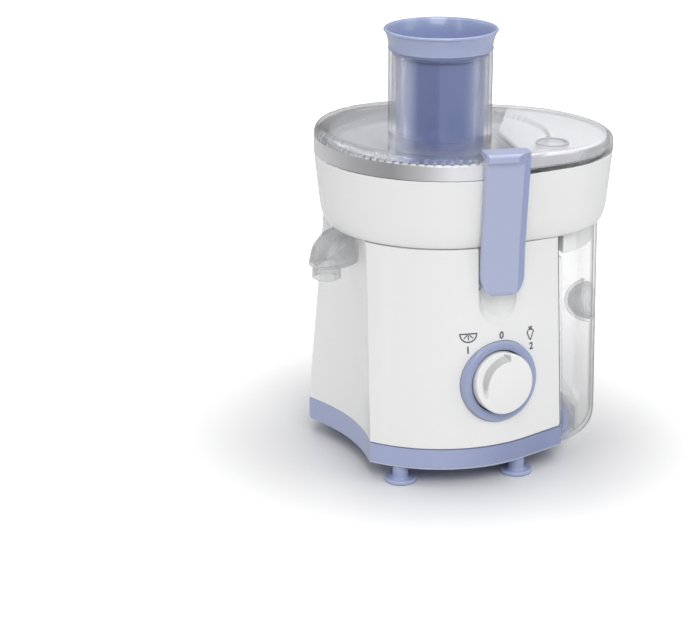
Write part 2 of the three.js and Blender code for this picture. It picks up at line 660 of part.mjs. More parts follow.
function addStator() {
  const halfLength = STATOR_LENGTH / 2;
  const halfWide = STATOR_WIDTH / 2;
  const bore = ARMATURE_RADIUS + AIR_GAP;
  const block = box([-halfLength, -halfWide, stackLow], [halfLength, halfWide, stackHigh]);
  const coilX = bore + 2.6;
  const slots = [-1, 1].flatMap((side) => [-1, 1].map((hand) => {
    const faces = [coilX - SEAM, coilX + COIL_THICKNESS + SEAM].map((x) => x * side);
    const [near, far] = faces.sort((a, b) => a - b);
    const [low, high] = [POLE_HALF_WIDTH, COIL_HALF_WIDTH + SEAM].map((y) => y * hand).sort((a, b) => a - b);
    return box([near, low, stackLow - 1], [far, high, stackHigh + 1]);
  }));
  const hole = rod(bore, stackLow - 1, stackHigh + 1);
  addPiece('stator_core', cut(block, hole, ...slots), IRON);
  for (const [name, side] of [['left', -1], ['right', 1]]) {
    const [near, far] = [coilX * side, (coilX + COIL_THICKNESS) * side].sort((a, b) => a - b);
    const outer = box(
      [near, -COIL_HALF_WIDTH, stackLow - coilReach], [far, COIL_HALF_WIDTH, stackHigh + coilReach]);
    const inner = box(
      [near - 1, -POLE_HALF_WIDTH - SEAM, stackLow - SEAM],
      [far + 1, POLE_HALF_WIDTH + SEAM, stackHigh + SEAM]);
    addPiece(`field_coil_${name}`, cut(outer, inner), COPPER);
  }
}

/** Cross-shaped bracket with a bearing seat in the middle. */
function bracket(z, reachX, reachY, legLow, legHigh) {
  const half = BRACKET_HALF_WIDTH;
  const top = z + BRACKET_THICKNESS;
  const seat = BEARING_RADIUS + RUNNING;
  const bars = join(
    box([-reachX, -half, z], [reachX, half, top]), box([-half, -reachY, z], [half, reachY, top]));
  const legs = [-1, 1].map((side) => {
    const middle = side * motor.legX;
    return box([middle - 3, -8, legLow], [middle + 3, 8, legHigh]);
  });
  const cup = rod(seat + 3, z - 2, top + 2);
  return cut(join(bars, cup, ...legs), rod(seat, z - 3, top + 3));
}

function addMotorFrame() {
  const bearingLift = (BRACKET_THICKNESS - BEARING_HEIGHT) / 2;
  const reach = MOUNT_DISTANCE + MOUNT_RADIUS;
  const legTop = topBracketZ + 1;
  addPiece('motor_top_bracket', bracket(topBracketZ, reach, reach, stackHigh + SEAM, legTop), STEEL);
  const legLow = bottomBracketZ + 1;
  const foot = COMMUTATOR_RADIUS + BRUSH_LENGTH + 6;
  const lowerBracket = bracket(bottomBracketZ, motor.legX + 3, foot, legLow, stackLow - SEAM);
  addPiece('motor_bottom_bracket', lowerBracket, STEEL);
  for (const [name, z] of [['upper_bearing', topBracketZ], ['lower_bearing', bottomBracketZ]]) {
    const low = z + bearingLift;
    addPiece(name, ring(SHAFT_RADIUS + RUNNING, BEARING_RADIUS, low, low + BEARING_HEIGHT), STEEL);
  }
  [0, 90, 180, 270].forEach((angle, i) => {
    const low = topBracketZ + BRACKET_THICKNESS + SEAM;
    const mount = rod(MOUNT_RADIUS, low, low + MOUNT_HEIGHT, SMALL).translate(MOUNT_DISTANCE, 0, 0);
    addPiece(`motor_mount_${i + 1}`, mount.rotateZ(THREE.MathUtils.degToRad(angle)), RUBBER);
  });
}

function addBrushes() {
  const half = BRUSH_SIZE / 2;
  const room = half + SEAM;
  const wall = room + 1.6;
  const near = COMMUTATOR_RADIUS + 1;
  const far = near + BRUSH_LENGTH + 2;
  const footZ = bottomBracketZ + BRACKET_THICKNESS + SEAM;
  const z = motor.brushZ;
  const sleeve = box([near, -wall, z - wall], [far, wall, z + wall]);
  const stalk = box([far - 6, -wall, footZ], [far, wall, z]);
  const holder = cut(join(sleeve, stalk), box([near - 1, -room, z - room], [far - 2, room, z + room]));
  const brush = box(
    [COMMUTATOR_RADIUS + SEAM, -half, z - half], [COMMUTATOR_RADIUS + BRUSH_LENGTH, half, z + half]);
  for (const [name, angle] of [['front', -90], ['rear', 90]]) {
    const turn = THREE.MathUtils.degToRad(angle);
    addPiece(`brush_holder_${name}`, holder.clone().rotateZ(turn), BLACK);
    addPiece(`carbon_brush_${name}`, brush.clone().rotateZ(turn), RUBBER);
  }
}

function addSeal() {
  const profile = [
    [SHAFT_RADIUS + PASSING, deckZ - 1.5], [SEAL_RADIUS, deckZ - 1.5], [SEAL_RADIUS, deckTopZ - SEAM],
    [SHAFT_RADIUS + PASSING, deckTopZ - SEAM],
  ];
  addPiece('shaft_seal', lathe(profile), RUBBER);
}

// ---- Filter basket -------------------------------------------------------------------------------------

function addFilter() {
  const rimLow = graterZ + FILTER_RISE;
  const rimInner = filterRimRadius - FILTER_RIM_WIDTH;
  const coneTop = rimInner - SEAM;
  const coneFoot = GRATER_RADIUS + SEAM;
  addPiece('filter_cone', lathe([
    [coneFoot, graterZ], [coneFoot + FILTER_WALL, graterZ], [coneTop, rimLow - SEAM],
    [coneTop + 2, rimLow - SEAM], [coneTop + 2, rimLow - SEAM + 0.1],
    [coneTop - FILTER_WALL, rimLow - SEAM + 0.1],
  ], LARGE), STEEL);
  const teeth = prism(
    slotted(filterRimRadius, filterRimRadius - 1.6, FILTER_RIM_TEETH, 0.5),
    rimLow, rimLow + FILTER_RIM_HEIGHT);
  const opening = rod(rimInner, rimLow - 1, rimLow + FILTER_RIM_HEIGHT + 1, LARGE);
  addPiece('filter_rim', cut(teeth, opening), STEEL);
  const disc = rod(GRATER_RADIUS, graterZ, graterZ + GRATER_THICKNESS);
  const cutters = Array.from({ length: GRATER_TEETH }, (_, i) => {
    const tooth = new THREE.ConeGeometry(1.1, 2.4, 4).rotateX(Math.PI / 2);
    const lane = 12 + 8 * (i % 3);
    tooth.translate(lane, 0, graterZ + GRATER_THICKNESS + 1);
    return tooth.rotateZ((2 * Math.PI * i) / GRATER_TEETH);
  });
  addPiece('grater_disc', join(disc, ...cutters), STEEL);
  const flangeTop = graterZ - SEAM;
  const flangeLow = flangeTop - HUB_FLANGE;
  const bossLow = bowlFloorZ + 1;
  const skirtInner = HUB_SKIRT_RADIUS - 2;
  const hub = lathe([
    [0, bossLow], [HUB_BOSS_RADIUS, bossLow], [HUB_BOSS_RADIUS, flangeLow], [skirtInner, flangeLow],
    [skirtInner, bossLow + 4], [HUB_SKIRT_RADIUS, bossLow + 4], [HUB_SKIRT_RADIUS, flangeLow],
    [GRATER_RADIUS, flangeLow], [GRATER_RADIUS, flangeTop], [0, flangeTop],
  ]);
  const radius = COUPLING_RADIUS + SEAM;
  const lobes = slotted(radius, radius - COUPLING_LOBE_DEPTH, COUPLING_LOBES, 0.56);
  const socketTop = collectorZ + 1 + COUPLING_HEIGHT + SEAM;
  addPiece('filter_hub', cut(hub, prism(lobes, bossLow - 1, socketTop)), BLACK);
}

// ---- Juice collector and spout -------------------------------------------------------------------------

/** Stack of collector or lid outlines at [height, inset] pairs. */
const collectorLoft = (levels, fall = () => 0) => loft(levels.map(([z, inset]) => {
  return egg({ ...collectorPlan(z, inset), fall: fall(z) });
}));

const bowlRadius = (z) => collectorPlan(z).bowl - COLLECTOR_WALL;
const drainEndX = bowlRadius(bowlFloorZ) - 2;
const chuteInset = CONTAINER_WALL + 2 * PASSING + 2;

/** Where the spout's flat back clears the curved floor of the recess. */
const recessRise = RECESS_RADIUS - Math.sqrt(RECESS_RADIUS ** 2 - SPOUT_HALF_WIDTH ** 2);
const spoutRootX = recessDistance + recessRise + PASSING;

function addCollector() {
  const top = lidZ - SEAM;
  const outer = collectorLoft([
    [collectorZ, 3.5], [collectorZ + 3, 1.4], [collectorZ + 8, 0.3], [collectorZ + 14, 0], [top, 0],
  ]);
  const lipWall = 2;
  const lipLow = collectorZ - CHUTE_LIP_DROP;
  const chuteSide = (x) => box([x, -FAR, -FAR], [FAR, FAR, FAR]);
  const lip = common(
    bodyLoft([[lipLow, chuteInset - lipWall], [collectorZ + 1, chuteInset - lipWall]]),
    chuteSide(CHUTE_START - lipWall + 1));
  const bowlBlock = rod(BRIM_BOWL_RADIUS, -FAR, FAR, LARGE);
  const chuteFloor = collectorZ + COLLECTOR_FLOOR;
  const upperChute = cut(
    common(
      collectorLoft([
        [chuteFloor, COLLECTOR_WALL + 2.4], [chuteFloor + 8, COLLECTOR_WALL], [top + 1, COLLECTOR_WALL],
      ]),
      chuteSide(CHUTE_START)), bowlBlock);
  const lowerChute = cut(
    common(bodyLoft([[lipLow - 1, chuteInset], [chuteFloor + 1, chuteInset]]), chuteSide(CHUTE_START + 1)),
    bowlBlock);
  const bowl = lathe([
    [0, bowlFloorZ], [drainEndX, bowlFloorZ], [bowlRadius(bowlFloorZ + 6), bowlFloorZ + 6],
    [bowlRadius(top), top], [bowlRadius(top), top + 1], [0, top + 1],
  ], LARGE);
  const under = rod(spigotRadius + PASSING, collectorZ - 1, collectorZ + COLLECTOR_SKIRT, LARGE);
  const collarLow = collectorZ + COLLECTOR_SKIRT;
  const collar = ring(HUB_BOSS_RADIUS + 1, HUB_SKIRT_RADIUS - 4, collarLow, bowlFloorZ + 11);
  const collarHole = rod(HUB_BOSS_RADIUS + 1, collectorZ - 1, bowlFloorZ + 1);
  const drain = box(
    [spoutRootX + SPOUT_WALL, -DRAIN_HALF_WIDTH, collectorZ], [drainEndX, DRAIN_HALF_WIDTH, bowlFloorZ + 1]);
  const rebate = collectorLoft([[lidZ - LID_LIP - PASSING, COLLECTOR_WALL], [lidZ + 1, COLLECTOR_WALL]]);
  const shell = cut(join(outer, lip), upperChute, lowerChute, bowl, under, rebate);
  const body = cut(join(shell, collar), collarHole, inFrame(drain, spoutFrame));
  addPiece('juice_collector', body, WHITE);
}

function addSpout() {
  const rootX = spoutRootX;
  const tipX = recessDistance + SPOUT_REACH;
  const topZ = collectorZ - SEAM;
  const lowZ = collectorZ - SPOUT_BODY_HEIGHT;
  const edgeX = rootX + 12;
  const sections = [
    { x: rootX, half: SPOUT_HALF_WIDTH, low: lowZ + 2, high: topZ },
    { x: edgeX, half: SPOUT_HALF_WIDTH, low: lowZ, high: topZ },
    { x: (edgeX + tipX) / 2, half: SPOUT_HALF_WIDTH * 0.8, low: lowZ - 0.5, high: lowZ + 14 },
    { x: tipX - 2.5, half: SPOUT_HALF_WIDTH * 0.5, low: lowZ - 0.5, high: lowZ + 6 },
    { x: tipX, half: SPOUT_HALF_WIDTH * 0.3, low: lowZ + 0.2, high: lowZ + 3.5 },
  ];
  const outline = ({ x, half, low, high }, inset) => {
    const corner = Math.min(half, high - low) * 0.45;
    const points = [];
    for (const [side, end] of [[1, 0], [1, 1], [-1, 1], [-1, 0]]) {
      const y = side * (half - corner);
      const z = end ? high - corner : low + corner;
      const start = [[270, 0], [180, 90]][side > 0 ? 0 : 1][end];
      for (let i = 0; i <= 3; i++) {
        const angle = THREE.MathUtils.degToRad(start + 30 * i);
        points.push(new THREE.Vector3(
          x, y + Math.cos(angle) * (corner - inset), z + Math.sin(angle) * (corner - inset)));
      }
    }
    return points;
  };
  const outer = loft(sections.map((section) => outline(section, 0)));
  const inside = sections.map((section, i) => {
    const x = section.x + (i === 0 ? SPOUT_WALL : 0) - (i === sections.length - 1 ? SPOUT_WALL : 0);
    return outline({ ...section, x }, SPOUT_WALL);
  });
  const mouthX = tipX - MOUTH_RADIUS - 1;
  const mouth = rod(MOUTH_RADIUS, lowZ - MOUTH_DROP, lowZ + 2, SMALL).translate(mouthX, 0, 0);
  const throat = rod(MOUTH_RADIUS - SPOUT_WALL, lowZ - MOUTH_DROP - 1, lowZ + 4, SMALL);
  throat.translate(mouthX, 0, 0);
  const inlet = box(
    [rootX + SPOUT_WALL, -DRAIN_HALF_WIDTH, topZ - 6], [drainEndX, DRAIN_HALF_WIDTH, topZ + 1]);
  addPiece('spout', cut(join(outer, mouth), loft(inside), throat, inlet), CLEAR, spoutFrame);
}

// ---- Lid, pulp guide and pusher ------------------------------------------------------------------------

/** Fall of the lid's outlines per millimetre of X at a height: none at the brim, all of it at the top. */
const lidFall = (z) => LID_FALL * THREE.MathUtils.clamp((z - lidZ) / LID_HEIGHT, 0, 1);
const lidCeilingZ = lidTopZ - LID_TOP_WALL;

/** Levels of a rounded upper edge that ends at a height. */
function roundedEdge(topZ, inset, radius, steps) {
  return Array.from({ length: steps + 1 }, (_, i) => {
    const angle = (Math.PI / 2) * (i / steps);
    return [topZ - radius * (1 - Math.sin(angle)), inset + radius * (1 - Math.cos(angle))];
  });
}

function addLid() {
  const outer = collectorLoft([[lidZ, 0], ...roundedEdge(lidTopZ, 0, LID_FILLET, 4)], lidFall);
  const lip = collectorLoft([[lidZ - LID_LIP, lipInset], [lidZ + 1, lipInset]]);
  const inside = collectorLoft([
    [lidZ - LID_LIP - 1, lipInner], [lidZ + 2.5, lipInner], [lidZ + 4.5, LID_WALL],
    ...roundedEdge(lidCeilingZ, LID_WALL, LID_FILLET - LID_WALL, 3),
  ], lidFall);
  const tubeLow = lidTopZ - TUBE_DROP;
  const tube = rod(TUBE_RADIUS, tubeLow, tubeTopZ, LARGE);
  const passage = rod(TUBE_RADIUS - TUBE_WALL, tubeLow - 1, tubeTopZ + 1, LARGE);
  addPiece('lid', cut(join(cut(join(outer, lip), inside), tube), passage), CLEAR);
}

function addPulpGuide() {
  const outset = lipInner + SEAM;
  const low = lidCeilingZ - GUIDE_DEPTH;
  const ceiling = lidCeilingZ - SEAM;
  const block = (top, inset, bottom) => collectorLoft(
    [[bottom, inset], [top - 2, inset], [top, inset + 1.5]], lidFall);
  const side = box([GUIDE_START_X, -FAR, -FAR], [FAR, FAR, FAR]);
  const shell = common(block(ceiling, outset, low), side);
  const hollow = block(ceiling - GUIDE_WALL, outset + GUIDE_WALL, low - 1);
  addPiece('pulp_guide', cut(shell, hollow), PALE);
}

function addPusher() {
  const seatZ = tubeTopZ + SEAM;
  const rimZ = tubeTopZ + PUSHER_RIM_RISE;
  const low = lidTopZ - TUBE_DROP + 1;
  const inner = pusherRadius - PUSHER_WALL;
  const floorZ = rimZ - PUSHER_FLOOR_DEPTH;
  const rimRadius = TUBE_RADIUS + PUSHER_FLARE;
  const profile = [
    [0, low], [pusherRadius, low], [pusherRadius, seatZ], [TUBE_RADIUS + 0.2, seatZ],
    [TUBE_RADIUS + 0.1 * PUSHER_FLARE, seatZ + 5],
    [TUBE_RADIUS + 0.35 * PUSHER_FLARE, seatZ + 9], [TUBE_RADIUS + 0.8 * PUSHER_FLARE, rimZ - 2.5],
    [rimRadius, rimZ - 1], [rimRadius - 0.5, rimZ], [rimRadius - 1.3, rimZ - 0.3],
    [TUBE_RADIUS - PUSHER_WALL + 0.4, rimZ - 7],
    [TUBE_RADIUS - PUSHER_WALL - 1, floorZ], [0, floorZ],
  ];
  const core = rod(inner, low - 1, floorZ - PUSHER_WALL);
  addPiece('pusher', cut(lathe(profile), core), LAVENDER);
}

// ---- Knob ----------------------------------------------------------------------------------------------

function addKnob() {
  const back = -KNOB_RING_DEPTH;
  const floor = back + 3;
  const well = KNOB_RADIUS + PASSING;
  const sleeve = SPINDLE_RADIUS + PASSING;
  addPiece('knob_ring', lathe([
    [sleeve, back], [KNOB_RING_RADIUS, back], [KNOB_RING_RADIUS, 0.6], [KNOB_RING_RADIUS - 2, 2.2],
    [well + 1.2, 0.6], [well, floor], [sleeve, floor],
  ], LARGE), LAVENDER, knobFrame);
  const knobLow = floor + SEAM;
  const knobTop = knobLow + KNOB_DEPTH;
  const gripTop = knobTop + KNOB_GRIP_HEIGHT;
  const disc = lathe([
    [0, knobLow], [KNOB_RADIUS, knobLow], [KNOB_RADIUS, knobTop - KNOB_EDGE],
    [KNOB_RADIUS - KNOB_EDGE, knobTop], [0, knobTop],
  ], LARGE);
  const dome = (radius) => lathe([
    [0, knobTop - 1], [radius, knobTop - 1], [radius - 1, gripTop - KNOB_EDGE],
    [radius - 1 - KNOB_EDGE, gripTop], [0, gripTop],
  ], LARGE);
  const plateau = dome(KNOB_GRIP_RADIUS).translate(KNOB_GRIP_SHIFT, -KNOB_GRIP_SHIFT / 2, 0);
  const half = common(dome(KNOB_RADIUS - 1), box([KNOB_GRIP_SHIFT / 2, -FAR, -FAR], [FAR, FAR, FAR]));
  const grip = join(plateau, half);
  const spindleTop = knobTop - 2;
  const socket = rod(SPINDLE_RADIUS + RUNNING, knobLow - 1, spindleTop + SEAM, SMALL);
  addPiece('speed_knob', cut(join(disc, grip), socket), WHITE, knobFrame);
  const switchTop = back - SWITCH_NECK;
  const switchLow = switchTop - SWITCH_DEPTH;
  const side = SWITCH_SIZE / 2;
  const spindleLow = switchLow + 4;
  addPiece('switch_spindle', rod(SPINDLE_RADIUS, spindleLow, spindleTop, SMALL), STEEL, knobFrame);
  const body = join(
    box([-side, -side, switchLow], [side, side, switchTop]), rod(6, switchTop - 1, back - SEAM, SMALL));
  const spindleHole = rod(SPINDLE_RADIUS + RUNNING, spindleLow - SEAM, 1);
  addPiece('rotary_switch', cut(body, spindleHole), BLACK, knobFrame);
}

// ---- Clamps --------------------------------------------------------------------------------------------

/** Prism of the clamp's plan, with a wide bevel on the container's side and a small one on the other. */
function clampPlan(face, side) {
  const edge = CLAMP_WIDTH / 2;
  const outline = [
    [0, -edge], [face - CLAMP_EDGE, -edge], [face, CLAMP_EDGE - edge], [FAR, CLAMP_EDGE - edge],
    [FAR, edge - 2 * CLAMP_BEVEL_WIDTH], [face + CLAMP_BEVEL_DEPTH, edge - 2 * CLAMP_BEVEL_WIDTH],
    [face - CLAMP_BEVEL_DEPTH, edge], [0, edge],
  ];
  return side > 0 ? outline : outline.map(([x, y]) => [x, -y]).reverse();
}

/** Clamp that leans out with the collector above its crease and hooks over the lid's rim. */
function clampArm(side) {
  const face = clampInner + CLAMP_TOP_THICKNESS;
  const footFace = clampFootInner + CLAMP_FOOT_THICKNESS;
  const hookLow = lidTopZ + SEAM;
  const hookTop = hookLow + CLAMP_HOOK_THICKNESS;
  const hookTip = BRIM_BOWL_RADIUS - CLAMP_HOOK_REACH;
  const lip = face + CLAMP_LIP;
  const shoulderZ = hookTop - CLAMP_LIP_HEIGHT;
  const lean = (face - footFace) / (shoulderZ - collectorZ);
  const end = [];
  for (let angle = 125; angle <= 360; angle += 23.5) {
    const turn = THREE.MathUtils.degToRad(angle);
    end.push([clampPinX + CLAMP_END_RADIUS * Math.cos(turn), clampPinZ + CLAMP_END_RADIUS * Math.sin(turn)]);
  }
  const profile = [
    [hookTip, hookLow], [clampInner, hookLow], [clampInner, lidZ], [clampFootInner, collectorZ],
    [clampPinX, clampPinZ + 1.5 * CLAMP_END_RADIUS], ...end,
    [footFace, collectorZ], [face, shoulderZ], [lip - 0.4, shoulderZ + 1.6], [lip, shoulderZ + 2.4],
    [lip, hookTop - 2], [lip - 2, hookTop], [hookTip, hookTop],
  ];
  const upright = prism(clampPlan(footFace, side), 0, collectorZ);
  const leaning = prism(clampPlan(footFace, side), 0, FAR - collectorZ);
  leaning.applyMatrix4(new THREE.Matrix4().makeShear(0, 0, 0, 0, lean, 0)).translate(0, 0, collectorZ);
  const edge = CLAMP_WIDTH / 2;
  const endZ = clampPinZ - CLAMP_END_RADIUS + edge;
  const roundEnd = rod(edge, 0, FAR, LARGE).rotateY(Math.PI / 2).translate(0, 0, endZ);
  const front = join(box([0, -edge, endZ], [FAR, edge, FAR]), roundEnd);
  return common(sideways(profile, CLAMP_WIDTH), join(upright, leaning), front);
}

/** Room behind the arm, inside its walls. */
function clampHollow() {
  const low = collectorZ + 2 * CLAMP_WALL;
  const high = lidTopZ - 2 * CLAMP_WALL;
  const lowFace = clampFootInner + CLAMP_FOOT_THICKNESS - CLAMP_WALL;
  const highFace = clampInner + CLAMP_TOP_THICKNESS - 2 * CLAMP_WALL;
  return sideways([[0, low], [lowFace, low], [highFace, high], [0, high]],
    CLAMP_WIDTH - 2 * (CLAMP_WALL + CLAMP_BEVEL_DEPTH));
}

function addClamps() {
  const half = CLAMP_LUG_WIDTH / 2 + PASSING;
  const channel = box(
    [0, -half, 0], [clampPinX + CLAMP_LUG_RADIUS + PASSING, half, clampPinZ + CLAMP_LUG_RADIUS + 1.5]);
  const pinHalf = half + CLAMP_PIN_BEARING;
  for (const [name, side] of [['front', 1], ['rear', -1]]) {
    const geometry = cut(clampArm(side), channel, clampHollow(), clampPin(RUNNING, pinHalf + SEAM));
    addPiece(`clamp_${name}`, geometry, LAVENDER, clampFrames[name]);
    addPiece(`clamp_pin_${name}`, clampPin(0, pinHalf), STEEL, clampFrames[name]);
  }
}

// ---- Pulp container ------------------------------------------------------------------------------------

function addContainer() {
  const low = baseZ + CONTAINER_LIFT;
  const top = deckTopZ - PASSING;
  const floor = low + CONTAINER_WALL;
  const curve = (z, extra) => [[z, extra + 6], [z + 2, extra + 2.5], [z + 6, extra + 0.6], [z + 10, extra]];
  const near = beyondSeam(PASSING);
  const outer = common(bodyLoft([...curve(low, 0), [top, 0]]), near);
  const inner = bodyLoft([...curve(floor, CONTAINER_WALL), [top + 1, CONTAINER_WALL]]);
  const notchX = tongueX + PASSING + 1;
  const notchY = TONGUE_HALF_WIDTH + PASSING + 1;
  const notchZ = housingZ + TONGUE_RISE + PASSING;
  const wall = CONTAINER_WALL;
  const notch = box([-FAR, -notchY, -FAR], [notchX, notchY, notchZ]);
  const step = box([-FAR, -notchY - wall, -FAR], [notchX + wall, notchY + wall, notchZ + wall]);
  const lowSide = box([SEAM_X_AT_WAIST - 5, -FAR, collectorZ - CHUTE_LIP_DROP - 2], [FAR, FAR, FAR]);
  const room = join(cut(common(inner, beyondSeam(PASSING + wall)), step), common(inner, lowSide));
  const tipX = BODY_NOSE_X + bodyPlan(GRIP_HEIGHT).nose;
  const ball = (extra) => {
    const sphere = new THREE.SphereGeometry(1, 20, SMALL);
    sphere.scale(GRIP_DEPTH + extra, GRIP_HALF_WIDTH + extra, GRIP_HALF_HEIGHT + extra);
    return sphere.translate(tipX, 0, GRIP_HEIGHT);
  };
  const pocketWall = common(ball(wall), outer);
  addPiece('pulp_container', cut(join(cut(outer, room), pocketWall), notch, ball(0)), CLEAR);
}

// ---- Assembly ------------------------------------------------------------------------------------------

addBase();
addFeet();
addScrews();
addHousing();
addGland();
addRotor();
addStator();
addMotorFrame();
addBrushes();
addSeal();
addFilter();
addCollector();
addSpout();
addLid();
addPulpGuide();
addPusher();
addKnob();
addClamps();
addContainer();

// Stand the juicer on Z = 0 with the middle of its box over the origin
const extent = new THREE.Box3().setFromObject(juicer, true);
juicer.position.set(-(extent.min.x + extent.max.x) / 2, -(extent.min.y + extent.max.y) / 2, -extent.min.z);

export default juicer;
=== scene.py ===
"""Upright centrifugal juicer: the visible skins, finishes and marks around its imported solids, and a studio.

Sizes are in millimetres in the machine's own frame, whose Z is the filter's axis, and each finished mesh is put
into the row frame in metres.
"""

import math

import bmesh
import bpy
from bpy.props import FloatProperty, FloatVectorProperty, IntProperty, PointerProperty
from mathutils import Matrix, Vector


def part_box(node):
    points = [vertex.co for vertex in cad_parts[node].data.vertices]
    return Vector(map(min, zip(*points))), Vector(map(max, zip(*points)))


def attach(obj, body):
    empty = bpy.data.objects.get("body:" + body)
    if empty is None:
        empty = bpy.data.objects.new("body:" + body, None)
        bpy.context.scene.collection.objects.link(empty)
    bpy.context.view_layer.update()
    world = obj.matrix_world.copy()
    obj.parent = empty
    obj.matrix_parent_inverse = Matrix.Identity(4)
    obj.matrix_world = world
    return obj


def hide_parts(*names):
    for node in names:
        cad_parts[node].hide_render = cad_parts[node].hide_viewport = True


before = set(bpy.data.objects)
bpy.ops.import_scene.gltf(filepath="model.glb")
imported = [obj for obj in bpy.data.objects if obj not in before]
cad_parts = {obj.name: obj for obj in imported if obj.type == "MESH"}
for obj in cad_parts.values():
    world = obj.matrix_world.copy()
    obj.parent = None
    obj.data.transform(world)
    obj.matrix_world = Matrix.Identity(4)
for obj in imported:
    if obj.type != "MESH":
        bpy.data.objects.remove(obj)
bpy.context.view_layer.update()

bl_info = {
    "name": "Centrifugal juicer",
    "version": (1, 0, 0),
    "blender": (4, 5, 0),
    "location": "3D View > Sidebar > Juicer",
    "description": "Builds the skins, finishes and studio of a centrifugal juicer",
    "category": "Object",
}

# ---- Places read from the frame ----


def low(node_name):
    """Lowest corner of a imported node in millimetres."""
    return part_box(node_name)[0] * 1000


def high(node_name):
    """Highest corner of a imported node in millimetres."""
    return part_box(node_name)[1] * 1000


def middle(node_name):
    """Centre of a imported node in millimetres."""
    return (low(node_name) + high(node_name)) / 2


def middle_x(node_name):
    """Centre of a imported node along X, in millimetres."""
    return (low(node_name).x + high(node_name).x) / 2


AXIS_X = middle_x("motor_shaft")
AXIS = Vector((AXIS_X, 0, 0))
PLACE = Matrix.Scale(0.001, 4) @ Matrix.Translation((AXIS_X, 0, 0))
SEAM = 0.3
PASSING = 0.6
FAR = 400.0
BASE_Z = low("base").z
HOUSING_Z = low("main_housing").z
LID_Z = high("juice_collector").z + SEAM
TUBE_TOP_Z = high("lid").z
RIM_TOP_Z = high("pusher").z

# ---- Sizes that several pieces share, in millimetres and degrees ----

EGG_STEPS = {"bowl": 132, "nose": 44, "flank": 7}
SPOUT_TURN = 195
SEAM_X = {"foot": 76.0, "waist": 70.0}
RECESS_RADIUS, RECESS_X = 148.0, 73.0
DRAIN_END = 79.9
LID_FALL = 0.042
ROOF = 2.2
CLAMP_END = 5.8
TONGUE = {"start": 66, "seam": 76, "end": 89, "half": 45, "rise": 2}
GRIP = {"x": 17, "y": 16, "z": 14, "height": 99}
SIDES = {"front": -1, "rear": 1}
SCREWS = ["base_screw_%d" % number for number in range(1, 5)]
FEET = ["foot_%d" % number for number in range(1, 5)]

# ---- Sizes and colours a user may change ----


def millimetres(name, description, default):
    return FloatProperty(name=name, description=description + ", in millimetres", default=default, min=0.0)


def colour(name, description, default):
    return FloatVectorProperty(name=name, description=description, default=default, size=3, subtype="COLOR",
                               min=0.0, max=1.0)


def turn_angle(name, description, default):
    return FloatProperty(name=name, description=description, default=default, subtype="ANGLE")


def metres(name, description, default):
    return FloatProperty(name=name, description=description, default=default, unit="LENGTH")


def watts(name, description, default):
    return FloatProperty(name=name, description=description + ", in watts", default=default, min=0.0)


def whole_number(name, description, default, least):
    return IntProperty(name=name, description=description, default=default, min=least)


class JuicerPlan(bpy.types.PropertyGroup):
    """Egg plan, heights and walls of the mouldings, and the sizes of the clamps and the knob."""

    body_nose_x: millimetres("Body nose X", "Distance from the bowl's centre to the nose's centre", 46.0)
    foot_bowl: millimetres("Foot bowl radius", "Bowl circle of the plan at the foot of the housing", 94.5)
    foot_nose: millimetres("Foot nose radius", "Nose circle of the plan at the foot of the housing", 73.5)
    waist_bowl: millimetres("Waist bowl radius", "Bowl circle of the plan at the waist", 83.5)
    waist_nose: millimetres("Waist nose radius", "Nose circle of the plan at the waist", 71.0)
    collector_bowl: millimetres("Collector bowl radius", "Bowl circle at the collector's foot", 84.5)
    collector_nose: millimetres("Collector nose radius", "Nose circle at the collector's foot", 74.0)
    collector_nose_x: millimetres("Collector nose X", "Nose centre at the collector's foot", 48.0)
    brim_bowl: millimetres("Brim bowl radius", "Bowl circle at the lid", 90.0)
    brim_nose: millimetres("Brim nose radius", "Nose circle at the lid", 74.5)
    brim_nose_x: millimetres("Brim nose X", "Nose centre at the lid", 52.0)
    housing_height: millimetres("Housing height", "From the base to the collector", 143.0)
    collector_height: millimetres("Collector height", "From the waist to the lid", 50.0)
    lid_height: millimetres("Lid height", "From the collector to the lid's top", 16.0)
    lid_fillet: millimetres("Lid fillet", "Radius of the lid's upper edge", 6.0)
    wall: millimetres("Wall", "Wall of the housing", 2.5)
    clamp_width: millimetres("Clamp width", "Width of a clamp", 31.6)
    knob_height: millimetres("Knob height", "Height of the knob's centre", 75.0)
    knob_turn: FloatProperty(name="Knob turn", default=-75.4,
                             description="Place of the knob round the filter's axis, in degrees")
    ring: millimetres("Knob ring radius", "Outer radius of the ring round the knob", 29.4)
    knob: millimetres("Knob radius", "Outer radius of the knob", 21.8)
    edge: millimetres("Edge rounding", "Width of the rounding on moulded edges", 0.5)


class JuicerColours(bpy.types.PropertyGroup):
    """Colours of the mouldings and metals."""

    white: colour("White", "Gloss white mouldings", (0.87, 0.87, 0.865))
    lavender: colour("Lavender", "Lavender blue mouldings", (0.37, 0.425, 0.63))
    clear: colour("Clear", "Tint of the lid", (0.94, 0.945, 0.955))
    steel: colour("Steel", "Filter and metal trim", (0.84, 0.84, 0.86))
    ink: colour("Ink", "Printed marks", (0.10, 0.10, 0.12))


class JuicerFilter(bpy.types.PropertyGroup):
    """Repeats on the filter."""

    rows: whole_number("Rows", "Rows of perforations up the cone", 15, 1)
    per_row: whole_number("Per row", "Perforations round one row", 96, 3)
    hole: millimetres("Hole", "Radius of one perforation", 0.9)
    lugs: whole_number("Lugs", "Lugs round the filter's rim", 84, 3)


